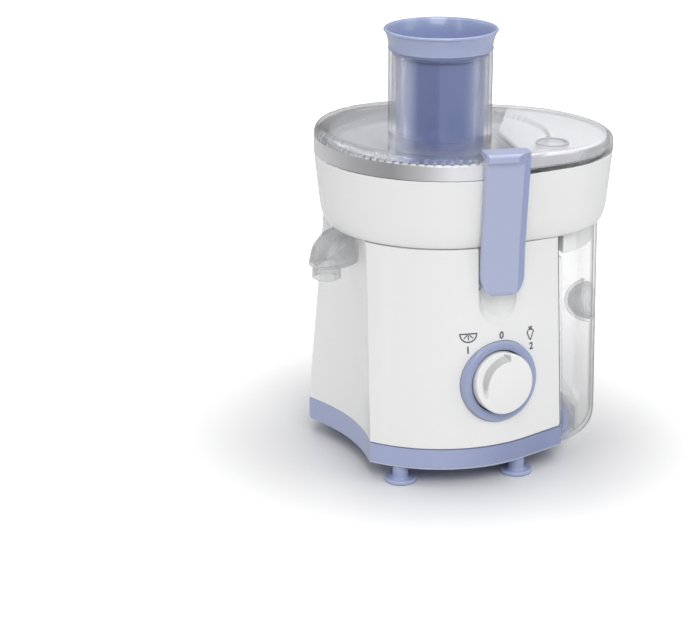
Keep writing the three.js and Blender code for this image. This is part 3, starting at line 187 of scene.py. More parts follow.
class JuicerStudio(bpy.types.PropertyGroup):
    """Camera and light."""

    azimuth: turn_angle("Azimuth", "Turn of the view round the object, from the left of +Y", math.radians(15.0))
    yaw: turn_angle("Yaw", "Turn of the lens away from the filter's axis", -0.04468911)
    pitch: turn_angle("Pitch", "Angle of the view below the horizon", 0.33576620)
    distance: metres("Distance", "Level distance from the filter's axis", 1.431639)
    height: metres("Height", "Height of the lens", 0.595424)
    lens: FloatProperty(name="Lens", description="Focal length on a 36 mm sensor", default=105.81)
    key: watts("Key", "Power of the key light", 29.0)
    fill: watts("Fill", "Power of the fill light", 7.0)


def plan():
    return bpy.context.scene.juicer_plan


def colours():
    return bpy.context.scene.juicer_colours


# ---- Outlines and solids ----


def evenly(start, stop, steps):
    return [mix(start, stop, i / steps) for i in range(steps + 1)]


def swept(start, stop, steps):
    """Angles in radians at even steps between two angles in degrees."""
    return [math.radians(angle) for angle in evenly(start, stop, steps)]


def circle(radius, angles, x=0.0, y=0.0):
    """Points of a circle at angles in radians."""
    return [(x + radius * math.cos(angle), y + radius * math.sin(angle)) for angle in angles]


def egg(bowl, nose, nose_x, inset):
    """Egg outline: a bowl circle, a nose circle and their tangents, shrunk by the inset."""
    turn = math.acos((bowl - nose) / nose_x)
    front = circle(nose - inset, evenly(-turn, turn, EGG_STEPS["nose"]), nose_x)
    back = circle(bowl - inset, evenly(turn, 2 * math.pi - turn, EGG_STEPS["bowl"]))
    return front + flank(front[-1], back[0]) + back + flank(back[-1], front[0])


def flank(a, b):
    """Points inside a straight side of the egg."""
    shares = evenly(0, 1, EGG_STEPS["flank"])[1:-1]
    return [(mix(a[0], b[0], share), mix(a[1], b[1], share)) for share in shares]


def mix(a, b, share):
    return a + (b - a) * share


def eased(share):
    """Share between 0 and 1 that starts and ends gently."""
    share = min(max(share, 0), 1)
    return share * share * (3 - 2 * share)


def body_sizes(z):
    """Bowl and nose radius of the housing's plan at a height."""
    p = plan()
    rise = min(max((z - HOUSING_Z) / p.housing_height, 0.0), 1.0)
    return mix(p.foot_bowl, p.waist_bowl, rise), mix(p.foot_nose, p.waist_nose, rise)


def collector_z():
    return LID_Z - plan().collector_height


def lid_top_z():
    return LID_Z + plan().lid_height


def body_level(z, inset=0.0):
    bowl, nose = body_sizes(z)
    return [Vector((x, y, z)) for x, y in egg(bowl, nose, plan().body_nose_x, inset)]


def body_stack(bottom, top, inset=0.0):
    """Housing outlines at even steps between two heights."""
    return [body_level(z, inset) for z in evenly(bottom, top, 9)]


def collector_level(z, inset=0.0, fall=0.0):
    """Collector and lid outline at a height. The fall lowers it towards the nose."""
    rise = min(max((z - collector_z()) / plan().collector_height, 0.0), 1.0)
    p = plan()
    outline = egg(mix(p.collector_bowl, p.brim_bowl, rise), mix(p.collector_nose, p.brim_nose, rise),
                  mix(p.collector_nose_x, p.brim_nose_x, rise), inset)
    return [Vector((x, y, z - fall * x)) for x, y in outline]


def lid_level(z, inset=0.0):
    share = min(max((z - LID_Z) / plan().lid_height, 0.0), 1.0)
    return collector_level(z, inset, LID_FALL * share)


def raised(points, z):
    """Profile points of a radius and a height, moved up."""
    return [(radius, z + rise) for radius, rise in points]


def rounded_lid(top, inset, radius, steps):
    """Lid outlines up a rounded upper edge that ends at a height."""
    corner = circle(radius, swept(0, 90, steps))
    return [lid_level(top - radius + rise, inset + radius - reach) for reach, rise in corner]


def new_object(name, mesh):
    thing = bpy.data.objects.new(name, mesh)
    bpy.context.scene.collection.objects.link(thing)
    return thing


def from_bmesh(bm, name):
    mesh = bpy.data.meshes.new(name)
    bm.to_mesh(mesh)
    bm.free()
    return new_object(name, mesh)


def solid(bm):
    """Object of a closed surface whose normals all point outwards."""
    bmesh.ops.remove_doubles(bm, verts=bm.verts, dist=1e-4)
    bmesh.ops.dissolve_degenerate(bm, edges=bm.edges, dist=1e-5)
    bmesh.ops.recalc_face_normals(bm, faces=bm.faces)
    return from_bmesh(bm, "solid")


def loft(levels):
    """Closed solid through outlines that have the same number of points."""
    bm = bmesh.new()
    rows = [[bm.verts.new(point) for point in level] for level in levels]
    count = len(rows[0])
    for lower, upper in zip(rows, rows[1:]):
        for i in range(count):
            after = (i + 1) % count
            bm.faces.new((lower[i], lower[after], upper[after], upper[i]))
    bm.faces.new(reversed(rows[0]))
    bm.faces.new(rows[-1])
    return solid(bm)


def lathe(profile, segments):
    """Solid of revolution about Z from (radius, height) points that end on the axis or close on themselves."""
    bm = bmesh.new()
    closed = profile[0][0] > 1e-6
    rows = []
    for radius, z in profile:
        if radius < 1e-6:
            rows.append([bm.verts.new((0, 0, z))] * segments)
        else:
            spots = circle(radius, swept(0, 360, segments)[:-1])
            rows.append([bm.verts.new((x, y, z)) for x, y in spots])
    pairs = list(zip(rows, rows[1:]))
    if closed:
        pairs.append((rows[-1], rows[0]))
    for lower, upper in pairs:
        for i in range(segments):
            after = (i + 1) % segments
            corners = list(dict.fromkeys((lower[i], lower[after], upper[after], upper[i])))
            if len(corners) > 2:
                bm.faces.new(corners)
    return solid(bm)


def rod(radius, bottom, top, segments=96):
    return lathe([(0, bottom), (radius, bottom), (radius, top), (0, top)], segments)


def tube(inner, outer, bottom, top):
    return lathe([(inner, bottom), (outer, bottom), (outer, top), (inner, top)], 128)


def box(a, b):
    bm = bmesh.new()
    bmesh.ops.create_cube(bm, size=1.0)
    for vert in bm.verts:
        vert.co = Vector([mix(lo, hi, part + 0.5) for lo, hi, part in zip(a, b, vert.co)])
    return solid(bm)


def prism(outline, bottom, top):
    """Prism of an XY outline between two heights."""
    return loft([[Vector((x, y, z)) for x, y in outline] for z in (bottom, top)])


def moved(thing, matrix):
    thing.data.transform(matrix)
    return thing


def shifted(thing, x, y, z):
    return moved(thing, Matrix.Translation((x, y, z)))


def turned(thing, degrees):
    return moved(thing, Matrix.Rotation(math.radians(degrees), 4, "Z"))


def lying(thing):
    """Lays an upright shape along Y."""
    return moved(thing, Matrix.Rotation(math.pi / 2, 4, "X"))


def sideways(outline, width):
    """Prism of an XZ outline, centred on Y = 0."""
    return lying(prism(outline, -width / 2, width / 2))


def bake(thing):
    """Applies the modifiers of an object."""
    graph = bpy.context.evaluated_depsgraph_get()
    mesh = bpy.data.meshes.new_from_object(thing.evaluated_get(graph), depsgraph=graph)
    thing.modifiers.clear()
    thing.data = mesh
    return thing


def edited(thing, change):
    """Takes an object's mesh through one step of changes."""
    bm = bmesh.new()
    bm.from_mesh(thing.data)
    change(bm)
    bm.to_mesh(thing.data)
    bm.free()


def split(thing):
    """Cuts the faces of an object into triangles, so that twisted ones can't mislead a boolean step."""
    edited(thing, lambda bm: bmesh.ops.triangulate(bm, faces=bm.faces))


def combine(operation, thing, others):
    split(thing)
    for other in others:
        split(other)
        step = thing.modifiers.new("combine", "BOOLEAN")
        step.operation = operation
        step.solver = "EXACT"
        step.object = other
    bake(thing)
    if not thing.data.polygons:
        raise RuntimeError("A boolean step left nothing")
    for other in others:
        bpy.data.objects.remove(other)
    return thing


def join(thing, *others):
    return combine("UNION", thing, others)


def cut(thing, *others):
    return combine("DIFFERENCE", thing, others)


def common(thing, *others):
    return combine("INTERSECT", thing, others)


def seam_x(z):
    return mix(SEAM_X["foot"], SEAM_X["waist"], (z - HOUSING_Z) / plan().housing_height)


def beyond_seam(shift=0.0):
    """Everything on the container's side of the seam."""
    outline = [(seam_x(-FAR) + shift, -FAR), (FAR, -FAR), (FAR, FAR), (seam_x(FAR) + shift, FAR)]
    return sideways(outline, 2 * FAR)


def beyond(x, low_z=-FAR):
    """Everything past a place along X, and above a height."""
    return box((x, -FAR, low_z), (FAR, FAR, FAR))


def spout_recess(deeper=0.0):
    wide = rod(RECESS_RADIUS + deeper, -1, collector_z() + 4, 360)
    return turned(shifted(wide, RECESS_X + RECESS_RADIUS, 0, 0), SPOUT_TURN)


def body_lean():
    """Angle by which the housing's round side leans inwards on its way up."""
    p = plan()
    return math.atan((p.foot_bowl - p.waist_bowl) / p.housing_height)


def knob_frame():
    """Frame on the housing's round side at the knob, with Z square out of the surface and Y upwards."""
    turn = math.radians(plan().knob_turn)
    z = plan().knob_height
    lean = body_lean()
    radius = body_sizes(z)[0]
    normal = Vector((math.cos(turn) * math.cos(lean), math.sin(turn) * math.cos(lean), math.sin(lean)))
    across = Vector((-math.sin(turn), math.cos(turn), 0))
    upward = normal.cross(across)
    matrix = Matrix((across, upward, normal)).transposed().to_4x4()
    matrix.translation = (radius * math.cos(turn), radius * math.sin(turn), z)
    return matrix


# ---- Finishing ----


def paint(thing, look):
    thing.data.materials.clear()
    thing.data.materials.append(look)


def touch_up(thing, look, picked):
    """Gives a further look to faces picked by their centre in the machine's frame and their normal."""
    thing.data.materials.append(look)
    last = len(thing.data.materials) - 1
    for face in thing.data.polygons:
        if picked(face.center * 1000 - AXIS, face.normal):
            face.material_index = last


def finish(thing, name, body, look, nodes, edge=None, angle=32.0, place=True, merge=True):
    """Rounds the edges of a piece, puts it in the row frame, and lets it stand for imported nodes."""
    thing.name = name
    thing.data.name = name
    if place:
        thing.data.transform(PLACE)
    width = plan().edge if edge is None else edge

    def clean(bm):
        bmesh.ops.remove_doubles(bm, verts=bm.verts, dist=2e-6)
        if merge:
            bmesh.ops.dissolve_limit(bm, angle_limit=math.radians(0.05), verts=bm.verts, edges=bm.edges)

    edited(thing, clean)
    thing.data.shade_smooth()
    thing.data.set_sharp_from_angle(angle=math.radians(angle))
    if width > 0:
        rounding = thing.modifiers.new("rounding", "BEVEL")
        rounding.width = width * 0.001
        rounding.segments = 3
        rounding.limit_method = "ANGLE"
        rounding.angle_limit = math.radians(angle)
        rounding.use_clamp_overlap = True
        rounding.miter_outer = "MITER_ARC"
    even = thing.modifiers.new("even", "WEIGHTED_NORMAL")
    even.keep_sharp = width <= 0
    bake(thing)
    paint(thing, look)
    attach(thing, body)
    if nodes:
        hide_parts(*nodes)


def copied(node_name):
    """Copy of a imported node, merged into one surface, in the row frame."""
    thing = new_object(node_name + "_skin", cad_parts[node_name].data.copy())
    edited(thing, lambda bm: bmesh.ops.remove_doubles(bm, verts=bm.verts, dist=1e-6))
    if thing.data.has_custom_normals:
        thing.data.attributes.remove(thing.data.attributes["custom_normal"])
    return thing


# ---- Node trees ----


def new_tree(name, kind, inputs, outputs):
    """Node group with its sockets, the outputs of its start and its end node."""
    tree = bpy.data.node_groups.new(name, kind)
    for label, socket_kind, default in inputs:
        socket = tree.interface.new_socket(label, in_out="INPUT", socket_type="NodeSocket" + socket_kind)
        if default is not None:
            socket.default_value = default
    for label, socket_kind in outputs:
        tree.interface.new_socket(label, in_out="OUTPUT", socket_type="NodeSocket" + socket_kind)
    return tree, tree.nodes.new("NodeGroupInput").outputs, tree.nodes.new("NodeGroupOutput")


def feed(tree, thing, inputs):
    """Gives a node's inputs, by label or by place, their constants or the sockets they are linked to."""
    for label, value in inputs.items():
        if isinstance(value, bpy.types.NodeSocket):
            tree.links.new(value, thing.inputs[label])
        else:
            thing.inputs[label].default_value = value


def node(tree, kind, inputs, **settings):
    thing = tree.nodes.new(kind)
    for label, value in settings.items():
        setattr(thing, label, value)
    feed(tree, thing, inputs)
    return thing


def maths(tree, operation, *values):
    return node(tree, "ShaderNodeMath", dict(enumerate(values)), operation=operation).outputs[0]


def noise(tree, vector, scale, detail=2.0):
    made = node(tree, "ShaderNodeTexNoise", {"Vector": vector, "Scale": scale, "Detail": detail})
    return made.outputs["Fac"]


def scaled(tree, tone, share):
    return node(tree, "ShaderNodeVectorMath", {0: tone, "Scale": share}, operation="SCALE").outputs[0]


def set_ramp(ramp, stops):
    """Gives a colour ramp its stops, each a place and a colour."""
    elements = ramp.color_ramp.elements
    while len(elements) < len(stops):
        elements.new(0.5)
    for element, (place, tone) in zip(elements, stops):
        element.position = place
        element.color = (*tone, 1)


# ---- Shader groups and materials ----

SURFACE = [("Colour", "Color"), ("Roughness", "Float"), ("Height", "Float")]


def moulded_surface():
    """Colour drift, roughness and fine grain of a moulded plastic."""
    tree, start, end = new_tree("Moulded surface", "ShaderNodeTree", [
        ("Vector", "Vector", None), ("Colour", "Color", (0.8, 0.8, 0.8, 1)), ("Drift", "Float", 0.04),
        ("Roughness", "Float", 0.25), ("Flow", "Float", 0.08), ("Grain", "Float", 1400.0)], SURFACE)
    drift = maths(tree, "MULTIPLY_ADD", noise(tree, start["Vector"], 9.0, 3.0), start["Drift"], 1.0)
    share = maths(tree, "MULTIPLY_ADD", start["Drift"], -0.5, drift)
    streak = node(tree, "ShaderNodeMapping", {"Vector": start["Vector"], "Scale": (1.0, 1.0, 0.25)})
    sheen = noise(tree, streak.outputs[0], 60.0)
    feed(tree, end, {
        "Colour": scaled(tree, start["Colour"], share),
        "Roughness": maths(tree, "MULTIPLY_ADD", sheen, start["Flow"], start["Roughness"]),
        "Height": noise(tree, start["Vector"], start["Grain"], 1.0)})
    return tree


def brushed_grain():
    """Fine turned lines round the filter's axis, with a little tarnish."""
    tree, start, end = new_tree("Brushed grain", "ShaderNodeTree", [
        ("Vector", "Vector", None), ("Colour", "Color", (0.6, 0.6, 0.6, 1)), ("Roughness", "Float", 0.3),
        ("Lines", "Float", 2600.0)], SURFACE)
    parts = node(tree, "ShaderNodeSeparateXYZ", {0: start["Vector"]}).outputs
    squares = [maths(tree, "POWER", parts[label], 2.0) for label in "XY"]
    radius = maths(tree, "SQRT", maths(tree, "ADD", *squares))
    ring = node(tree, "ShaderNodeCombineXYZ", {"X": radius, "Z": parts["Z"]})
    lines = noise(tree, ring.outputs[0], start["Lines"])
    stain = noise(tree, start["Vector"], 30.0)
    tarnish = node(tree, "ShaderNodeMapRange", {"Value": stain, "To Min": 0.9, "To Max": 1.06})
    feed(tree, end, {
        "Colour": scaled(tree, start["Colour"], tarnish.outputs[0]),
        "Roughness": maths(tree, "MULTIPLY_ADD", lines, 0.16, start["Roughness"]),
        "Height": lines})
    return tree


def centred(tree):
    """Object coordinate with the filter's axis as its Z."""
    where = node(tree, "ShaderNodeTexCoord", {}).outputs["Object"]
    return node(tree, "ShaderNodeMapping", {"Vector": where, "Location": -AXIS * 0.001}).outputs[0]


def new_look(name):
    """New material, its tree and its Principled shader."""
    look = bpy.data.materials.new(name)
    look.use_nodes = True
    return look, look.node_tree, look.node_tree.nodes["Principled BSDF"]


def surfaced(name, group, bump, values):
    """New material whose shader is driven by a surface group."""
    look, tree, shader = new_look(name)
    surface = node(tree, "ShaderNodeGroup", {"Vector": centred(tree), **values}, node_tree=group).outputs
    relief = node(tree, "ShaderNodeBump", {"Distance": bump, "Strength": 0.6, "Height": surface["Height"]})
    feed(tree, shader, {"Base Color": surface["Colour"], "Roughness": surface["Roughness"],
                        "Normal": relief.outputs["Normal"]})
    return look, tree, shader


def plastic(name, tint, roughness, drift, flow=0.02, bump=0.00001, coat=0.3, grain=1400.0):
    """Moulded plastic, from gloss to satin."""
    if name in bpy.data.materials:
        return bpy.data.materials[name]
    values = {"Colour": (*tint, 1), "Drift": drift, "Roughness": roughness, "Flow": flow, "Grain": grain}
    group = bpy.data.node_groups.get("Moulded surface") or moulded_surface()
    look, tree, shader = surfaced(name, group, bump, values)
    feed(tree, shader, {"Coat Weight": coat, "Coat Roughness": 0.08, "IOR": 1.5})
    return look


def metal(name, tint, roughness, bump=0.00001, lines=2600.0, metallic=1.0):
    """Turned or brushed metal."""
    if name in bpy.data.materials:
        return bpy.data.materials[name]
    values = {"Colour": (*tint, 1), "Roughness": roughness, "Lines": lines}
    group = bpy.data.node_groups.get("Brushed grain") or brushed_grain()
    look, tree, shader = surfaced(name, group, bump, values)
    feed(tree, shader, {"Metallic": metallic})
    return look


def clear(name, tint, roughness, shade, bend, haze, rim=0.3):
    """Clear moulding that lets lamps through, shows what it covers, and darkens where seen at a slant."""
    if name in bpy.data.materials:
        return bpy.data.materials[name]
    values = {"Colour": (*tint, 1), "Drift": 0.02, "Roughness": roughness, "Flow": 0.02, "Grain": 120.0}
    group = bpy.data.node_groups.get("Moulded surface") or moulded_surface()
    look, tree, shader = surfaced(name, group, 0.00004, values)
    feed(tree, shader, {"Transmission Weight": 1.0, "IOR": bend})
    lamp = node(tree, "ShaderNodeLightPath", {}).outputs["Is Shadow Ray"]
    slant = node(tree, "ShaderNodeLayerWeight", {"Blend": 0.5}).outputs["Facing"]
    thick = node(tree, "ShaderNodeMapRange", {"Value": slant, "From Min": 0.72, "From Max": 0.98,
                                              "To Min": shade, "To Max": rim})
    passed = maths(tree, "MAXIMUM", maths(tree, "MULTIPLY", lamp, shade), thick.outputs[0])
    grey = node(tree, "ShaderNodeCombineColor", {"Red": passed, "Green": passed, "Blue": passed})
    through = node(tree, "ShaderNodeBsdfTransparent", {"Color": grey.outputs[0]})
    either = node(tree, "ShaderNodeMixShader", {0: maths(tree, "MAXIMUM", lamp, haze), 1: shader.outputs[0],
                                                2: through.outputs[0]})
    feed(tree, tree.nodes["Material Output"], {"Surface": either.outputs[0]})
    return look


def banded(look, bands, blend, share):
    """Blends painted light and shade round the filter's axis into a material's colour. A band is a share of a turn
    and a colour.
    """
    tree = look.node_tree
    shader = tree.nodes["Principled BSDF"]
    turn = node(tree, "ShaderNodeTexGradient", {"Vector": centred(tree)}, gradient_type="RADIAL")
    ramp = node(tree, "ShaderNodeValToRGB", {0: turn.outputs["Fac"]})
    set_ramp(ramp, bands)
    plain = shader.inputs["Base Color"].links[0].from_socket
    tinted = node(tree, "ShaderNodeMix", {"Factor": share, "A": plain, "B": ramp.outputs[0]},
                  data_type="RGBA", blend_type=blend)
    feed(tree, shader, {"Base Color": tinted.outputs["Result"]})


def white():
    return plastic("Gloss white moulding", tuple(colours().white), 0.2, 0.025)


def steel():
    return metal("Satin steel", tuple(colours().steel), 0.3, metallic=0.4)


def painted_gap_shade(name, tint):
    """Dark matt colour that paints the shade of a narrow gap that little light gets into."""
    return plastic(name, tint, 0.5, 0.1, coat=0.0)


# ---- Geometry node trees for what repeats ----


def place_parts(tree, start, end, points, rotation):
    """Puts the part on points, makes it real and gives it the material."""
    part = node(tree, "GeometryNodeObjectInfo", {0: start["Part"]})
    put = node(tree, "GeometryNodeInstanceOnPoints", {
        "Points": points, "Instance": part.outputs["Geometry"], "Rotation": rotation})
    real = node(tree, "GeometryNodeRealizeInstances", {0: put.outputs[0]})
    coat = node(tree, "GeometryNodeSetMaterial", {"Geometry": real.outputs[0], "Material": start["Material"]})
    feed(tree, end, {"Geometry": coat.outputs[0]})


def parts_at_places_tree():
    """Puts a part at each vertex of the carrier mesh."""
    tree, start, end = new_tree("Parts at places", "GeometryNodeTree", [
        ("Geometry", "Geometry", None), ("Part", "Object", None), ("Turn", "Float", 0.0),
        ("Material", "Material", None)], [("Geometry", "Geometry")])
    turn = node(tree, "ShaderNodeCombineXYZ", {"Z": start["Turn"]})
    place_parts(tree, start, end, start["Geometry"], turn.outputs[0])
    return tree


def cone_rows_tree():
    """Rows of a part up a cone round Z, each turned to face outwards and laid on the cone's slope."""
    tree, start, end = new_tree("Rows round a cone", "GeometryNodeTree", [
        ("Geometry", "Geometry", None), ("Part", "Object", None), ("Rows", "Int", 10), ("Per row", "Int", 60),
        ("Seed", "Int", 7), ("Low radius", "Float", 0.04), ("High radius", "Float", 0.075),
        ("Low height", "Float", 0.0), ("High height", "Float", 0.03), ("Slope", "Float", 0.0),
        ("Uneven", "Float", 0.0), ("Material", "Material", None)], [("Geometry", "Geometry")])
    count = maths(tree, "MULTIPLY", start["Rows"], start["Per row"])
    points = node(tree, "GeometryNodePoints", {"Count": count})
    index = tree.nodes.new("GeometryNodeInputIndex").outputs[0]
    row = maths(tree, "FLOOR", maths(tree, "DIVIDE", index, start["Per row"]))
    step = maths(tree, "MODULO", index, start["Per row"])
    half = maths(tree, "MULTIPLY", maths(tree, "MODULO", row, 2.0), 0.5)
    chance = node(tree, "FunctionNodeRandomValue", {"Seed": start["Seed"]}, data_type="FLOAT")
    wobble = maths(tree, "MULTIPLY", maths(tree, "SUBTRACT", chance.outputs[1], 0.5), start["Uneven"])
    place = maths(tree, "ADD", maths(tree, "ADD", step, half), wobble)
    angle = maths(tree, "MULTIPLY", maths(tree, "DIVIDE", place, start["Per row"]), 2 * math.pi)
    last = maths(tree, "MAXIMUM", maths(tree, "SUBTRACT", start["Rows"], 1.0), 1.0)
    share = maths(tree, "DIVIDE", row, last)
    radius, height = [
        maths(tree, "MULTIPLY_ADD", share, maths(tree, "SUBTRACT", start["High " + size], start["Low " + size]),
              start["Low " + size]) for size in ("radius", "height")]
    where = node(tree, "ShaderNodeCombineXYZ", {
        "X": maths(tree, "MULTIPLY", radius, maths(tree, "COSINE", angle)),
        "Y": maths(tree, "MULTIPLY", radius, maths(tree, "SINE", angle)), "Z": height})
    spread = node(tree, "GeometryNodeSetPosition", {"Geometry": points.outputs[0], "Position": where.outputs[0]})
    turn = node(tree, "ShaderNodeCombineXYZ", {"Y": start["Slope"], "Z": angle})
    place_parts(tree, start, end, spread.outputs[0], turn.outputs[0])
    return tree


TREES = {"Parts at places": parts_at_places_tree, "Rows round a cone": cone_rows_tree}


def grown(name, build, carrier, values):
    """Runs a geometry tree on a carrier mesh and keeps the plain mesh. Sizes are in millimetres."""
    tree = bpy.data.node_groups.get(build) or TREES[build]()
    mesh = bpy.data.meshes.new(name)
    mesh.from_pydata(carrier, [], [])
    thing = new_object(name, mesh)
    step = thing.modifiers.new("repeat", "NODES")
    step.node_group = tree
    for item in tree.interface.items_tree:
        if item.in_out == "INPUT" and item.name in values:
            step[item.identifier] = values[item.name]
    bake(thing)
    bpy.data.objects.remove(values["Part"])
    return thing


# ---- Body, base and feet ----


class JUICER_OT_housing(bpy.types.Operator):
    """Build the white housing with its seam, spout recess, clamp beds and knob hole"""

    bl_idname = "juicer.housing"
    bl_label = "Housing"

    def execute(self, context):
        p = plan()
        deck = collector_z() - SEAM
        groove_width, groove_depth = 1.1, 1.2
        shell = cut(loft(body_stack(HOUSING_Z, deck)), beyond_seam(), spout_recess())
        for side in SIDES.values():
            shell = cut(shell, at_clamp(clamp_bed(0), side))
        hollow = cut(loft(body_stack(HOUSING_Z - 1, deck - p.wall, p.wall)),
                     beyond_seam(-p.wall), spout_recess(p.wall),
                     *[at_clamp(clamp_bed(p.wall), side) for side in SIDES.values()])
        shell = cut(shell, hollow)
        hole = moved(rod(p.ring + SEAM, -24, 24), knob_frame())
        skin = common(loft(body_stack(HOUSING_Z - 1, deck + 1, -1)), beyond_seam(-groove_width))
        groove = cut(skin, loft(body_stack(HOUSING_Z - 2, deck + 2, groove_depth)))
        shell = cut(shell, hole, groove)
        for side in SIDES.values():
            shell = join(shell, at_clamp(clamp_lug(), side))
        finish(shell, "housing_shell", "body", white(), ["main_housing"], 0.35)
        touch_up(shell, painted_gap_shade("Seam shade", (0.09, 0.09, 0.10)),
                 lambda spot, normal: -groove_width - 0.2 < spot.x - seam_x(spot.z) < -0.05)
        return {"FINISHED"}


def clamp_pin():
    """Reach and height of the clamps' pins."""
    centre = middle("clamp_pin_front")
    return abs(centre.y), centre.z


def at_clamp(thing, side):
    """Turns a shape built along +X to the place of the front or rear clamp."""
    return shifted(turned(thing, 90 * side), middle_x("clamp_front") - AXIS_X, 0, 0)


def clamp_bed(deeper):
    """Bed under a clamp, whose lower end is round and slopes up to the surface."""
    half = plan().clamp_width / 2 + PASSING + deeper
    pin_x, pin_z = clamp_pin()
    floor = pin_x - CLAMP_END - PASSING - deeper
    drop = 55.0
    end_z = collector_z() - drop + plan().clamp_width / 2
    straight = box((floor, -half, pin_z - 1), (FAR, half, collector_z() + 1))
    levels = []
    for reach, less in ((floor, 4.4), (floor + 0.6, 3.6), (floor + 8.2 + deeper, 0.0), (FAR, 0.0)):
        radius = half - less
        end = circle(radius, swept(0, -180, 32), 0, end_z)
        sides = [(radius, pin_z + 1)] + end + [(-radius, pin_z + 1)]
        levels.append([Vector((reach, y, z)) for y, z in sides])
    return join(straight, loft(levels))


def clamp_lug():
    """Lug that carries a clamp's pin, with a round end."""
    pin_x, pin_z = clamp_pin()
    radius, half = 3.5, 6
    block = box((pin_x - 9, -half, pin_z - radius), (pin_x, half, pin_z + radius))
    return join(block, shifted(lying(rod(radius, -half, half, 48)), pin_x, 0, pin_z))


class JUICER_OT_base(bpy.types.Operator):
    """Build the lavender base with the tongue under the pulp container"""

    bl_idname = "juicer.base"
    bl_label = "Base"

    def execute(self, context):
        top = HOUSING_Z - SEAM
        corner, wall, groove_height, groove_depth = 3, 2.5, 0.8, 1.4
        edge = circle(corner, swept(0, 90, 6))
        levels = [body_level(BASE_Z + corner - fall, corner - reach) for fall, reach in edge]
        levels += [body_level(top - groove_height), body_level(top - groove_height, groove_depth),
                   body_level(top, groove_depth)]
        outer = cut(loft(levels), beyond_seam(), spout_recess())
        hollow = cut(loft([body_level(BASE_Z + wall, wall), body_level(top + 1, wall)]),
                     beyond_seam(-wall), spout_recess(wall))
        half, end = TONGUE["half"], TONGUE["end"]
        foot = box((TONGUE["start"], -half, BASE_Z), (end, half, top))
        head = box((TONGUE["seam"] + PASSING, -half, top - 1), (end, half, HOUSING_Z + TONGUE["rise"]))
        shell = join(cut(outer, hollow), foot, head)
        holes = []
        for name in SCREWS:
            hole = rod(3.7, 0, low(name).z + 2.6, 48)
            holes.append(shifted(hole, middle(name).x - AXIS_X, middle(name).y, 0))
        shell = cut(shell, *holes)
        look = plastic("Base moulding", tuple(colours().lavender), 0.28, 0.05, coat=0.3)
        # Painted shade: a darker band is multiplied into the base's colour round its front right, where it turns
        # from the key light.
        banded(look, [(0.0, (1, 1, 1)), (0.22, (1, 1, 1)), (0.30, (0.72, 0.74, 0.80)), (0.36, (0.66, 0.68, 0.75)),
                      (0.45, (0.9, 0.9, 0.92)), (1.0, (1, 1, 1))], "MULTIPLY", 1.0)
        finish(shell, "base_shell", "body", look, ["base"], 0.3)
        # Painted reflection: the rounded lower edge of the base gets a paler lavender, as if it caught light off
        # the floor.
        touch_up(shell, plastic("Base edge", (0.60, 0.64, 0.80), 0.3, 0.04),
                 lambda spot, normal: spot.z < BASE_Z + 1.9 and -0.93 < normal.z < -0.35)
        return {"FINISHED"}


def standing_places(node_names):
    """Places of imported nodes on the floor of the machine's frame."""
    return [(middle(name).x - AXIS_X, middle(name).y, 0) for name in node_names]


class JUICER_OT_feet(bpy.types.Operator):
    """Build the four round feet"""

    bl_idname = "juicer.feet"
    bl_label = "Feet"

    def execute(self, context):
        profile = [(0, 1.2), (8, 1.2), (8.5, 0.15), (8.9, 0), (10.7, 0), (11.2, 0.25), (11.45, 0.8), (11.5, 1.6),
                   (11.4, 2.5), (11.1, 3.0), (10.6, 3.2), (10.1, 3.0), (9.4, 2.6), (8.3, 2.45), (7.1, 2.6),
                   (6.2, 3.1), (5.8, 4.0), (5.7, 5.4), (5.7, BASE_Z - 0.1), (0, BASE_Z - 0.1)]
        look = plastic("Foot moulding", tuple(colours().lavender), 0.34, 0.04, coat=0.2)
        values = {"Part": lathe(profile, 64), "Material": look}
        thing = grown("feet", "Parts at places", standing_places(FEET), values)
        finish(thing, "feet", "body", look, FEET, 0.0, 40.0)
        return {"FINISHED"}


class JUICER_OT_screws(bpy.types.Operator):
    """Build the cross-head screws in the base"""

    bl_idname = "juicer.screws"
    bl_label = "Base screws"

    def execute(self, context):
        seat = low(SCREWS[0]).z
        head = lathe(raised([(0, 0.1), (2.4, 0.1), (3.1, 0.5), (3.4, 1.1), (3.4, 2), (1.6, 2), (1.6, 24),
                             (0, 25.4)], seat), 48)
        head = cut(head, box((-2, -0.45, seat - 1), (2, 0.45, seat + 0.9)),
                   box((-0.45, -2, seat - 1), (0.45, 2, seat + 0.9)))
        look = metal("Screw steel", (0.42, 0.42, 0.44), 0.3)
        values = {"Part": head, "Turn": 0.4, "Material": look}
        thing = grown("screws", "Parts at places", standing_places(SCREWS), values)
        finish(thing, "base_screws", "body", look, SCREWS, 0.0, 35.0)
        return {"FINISHED"}


# ---- Collector and spout ----


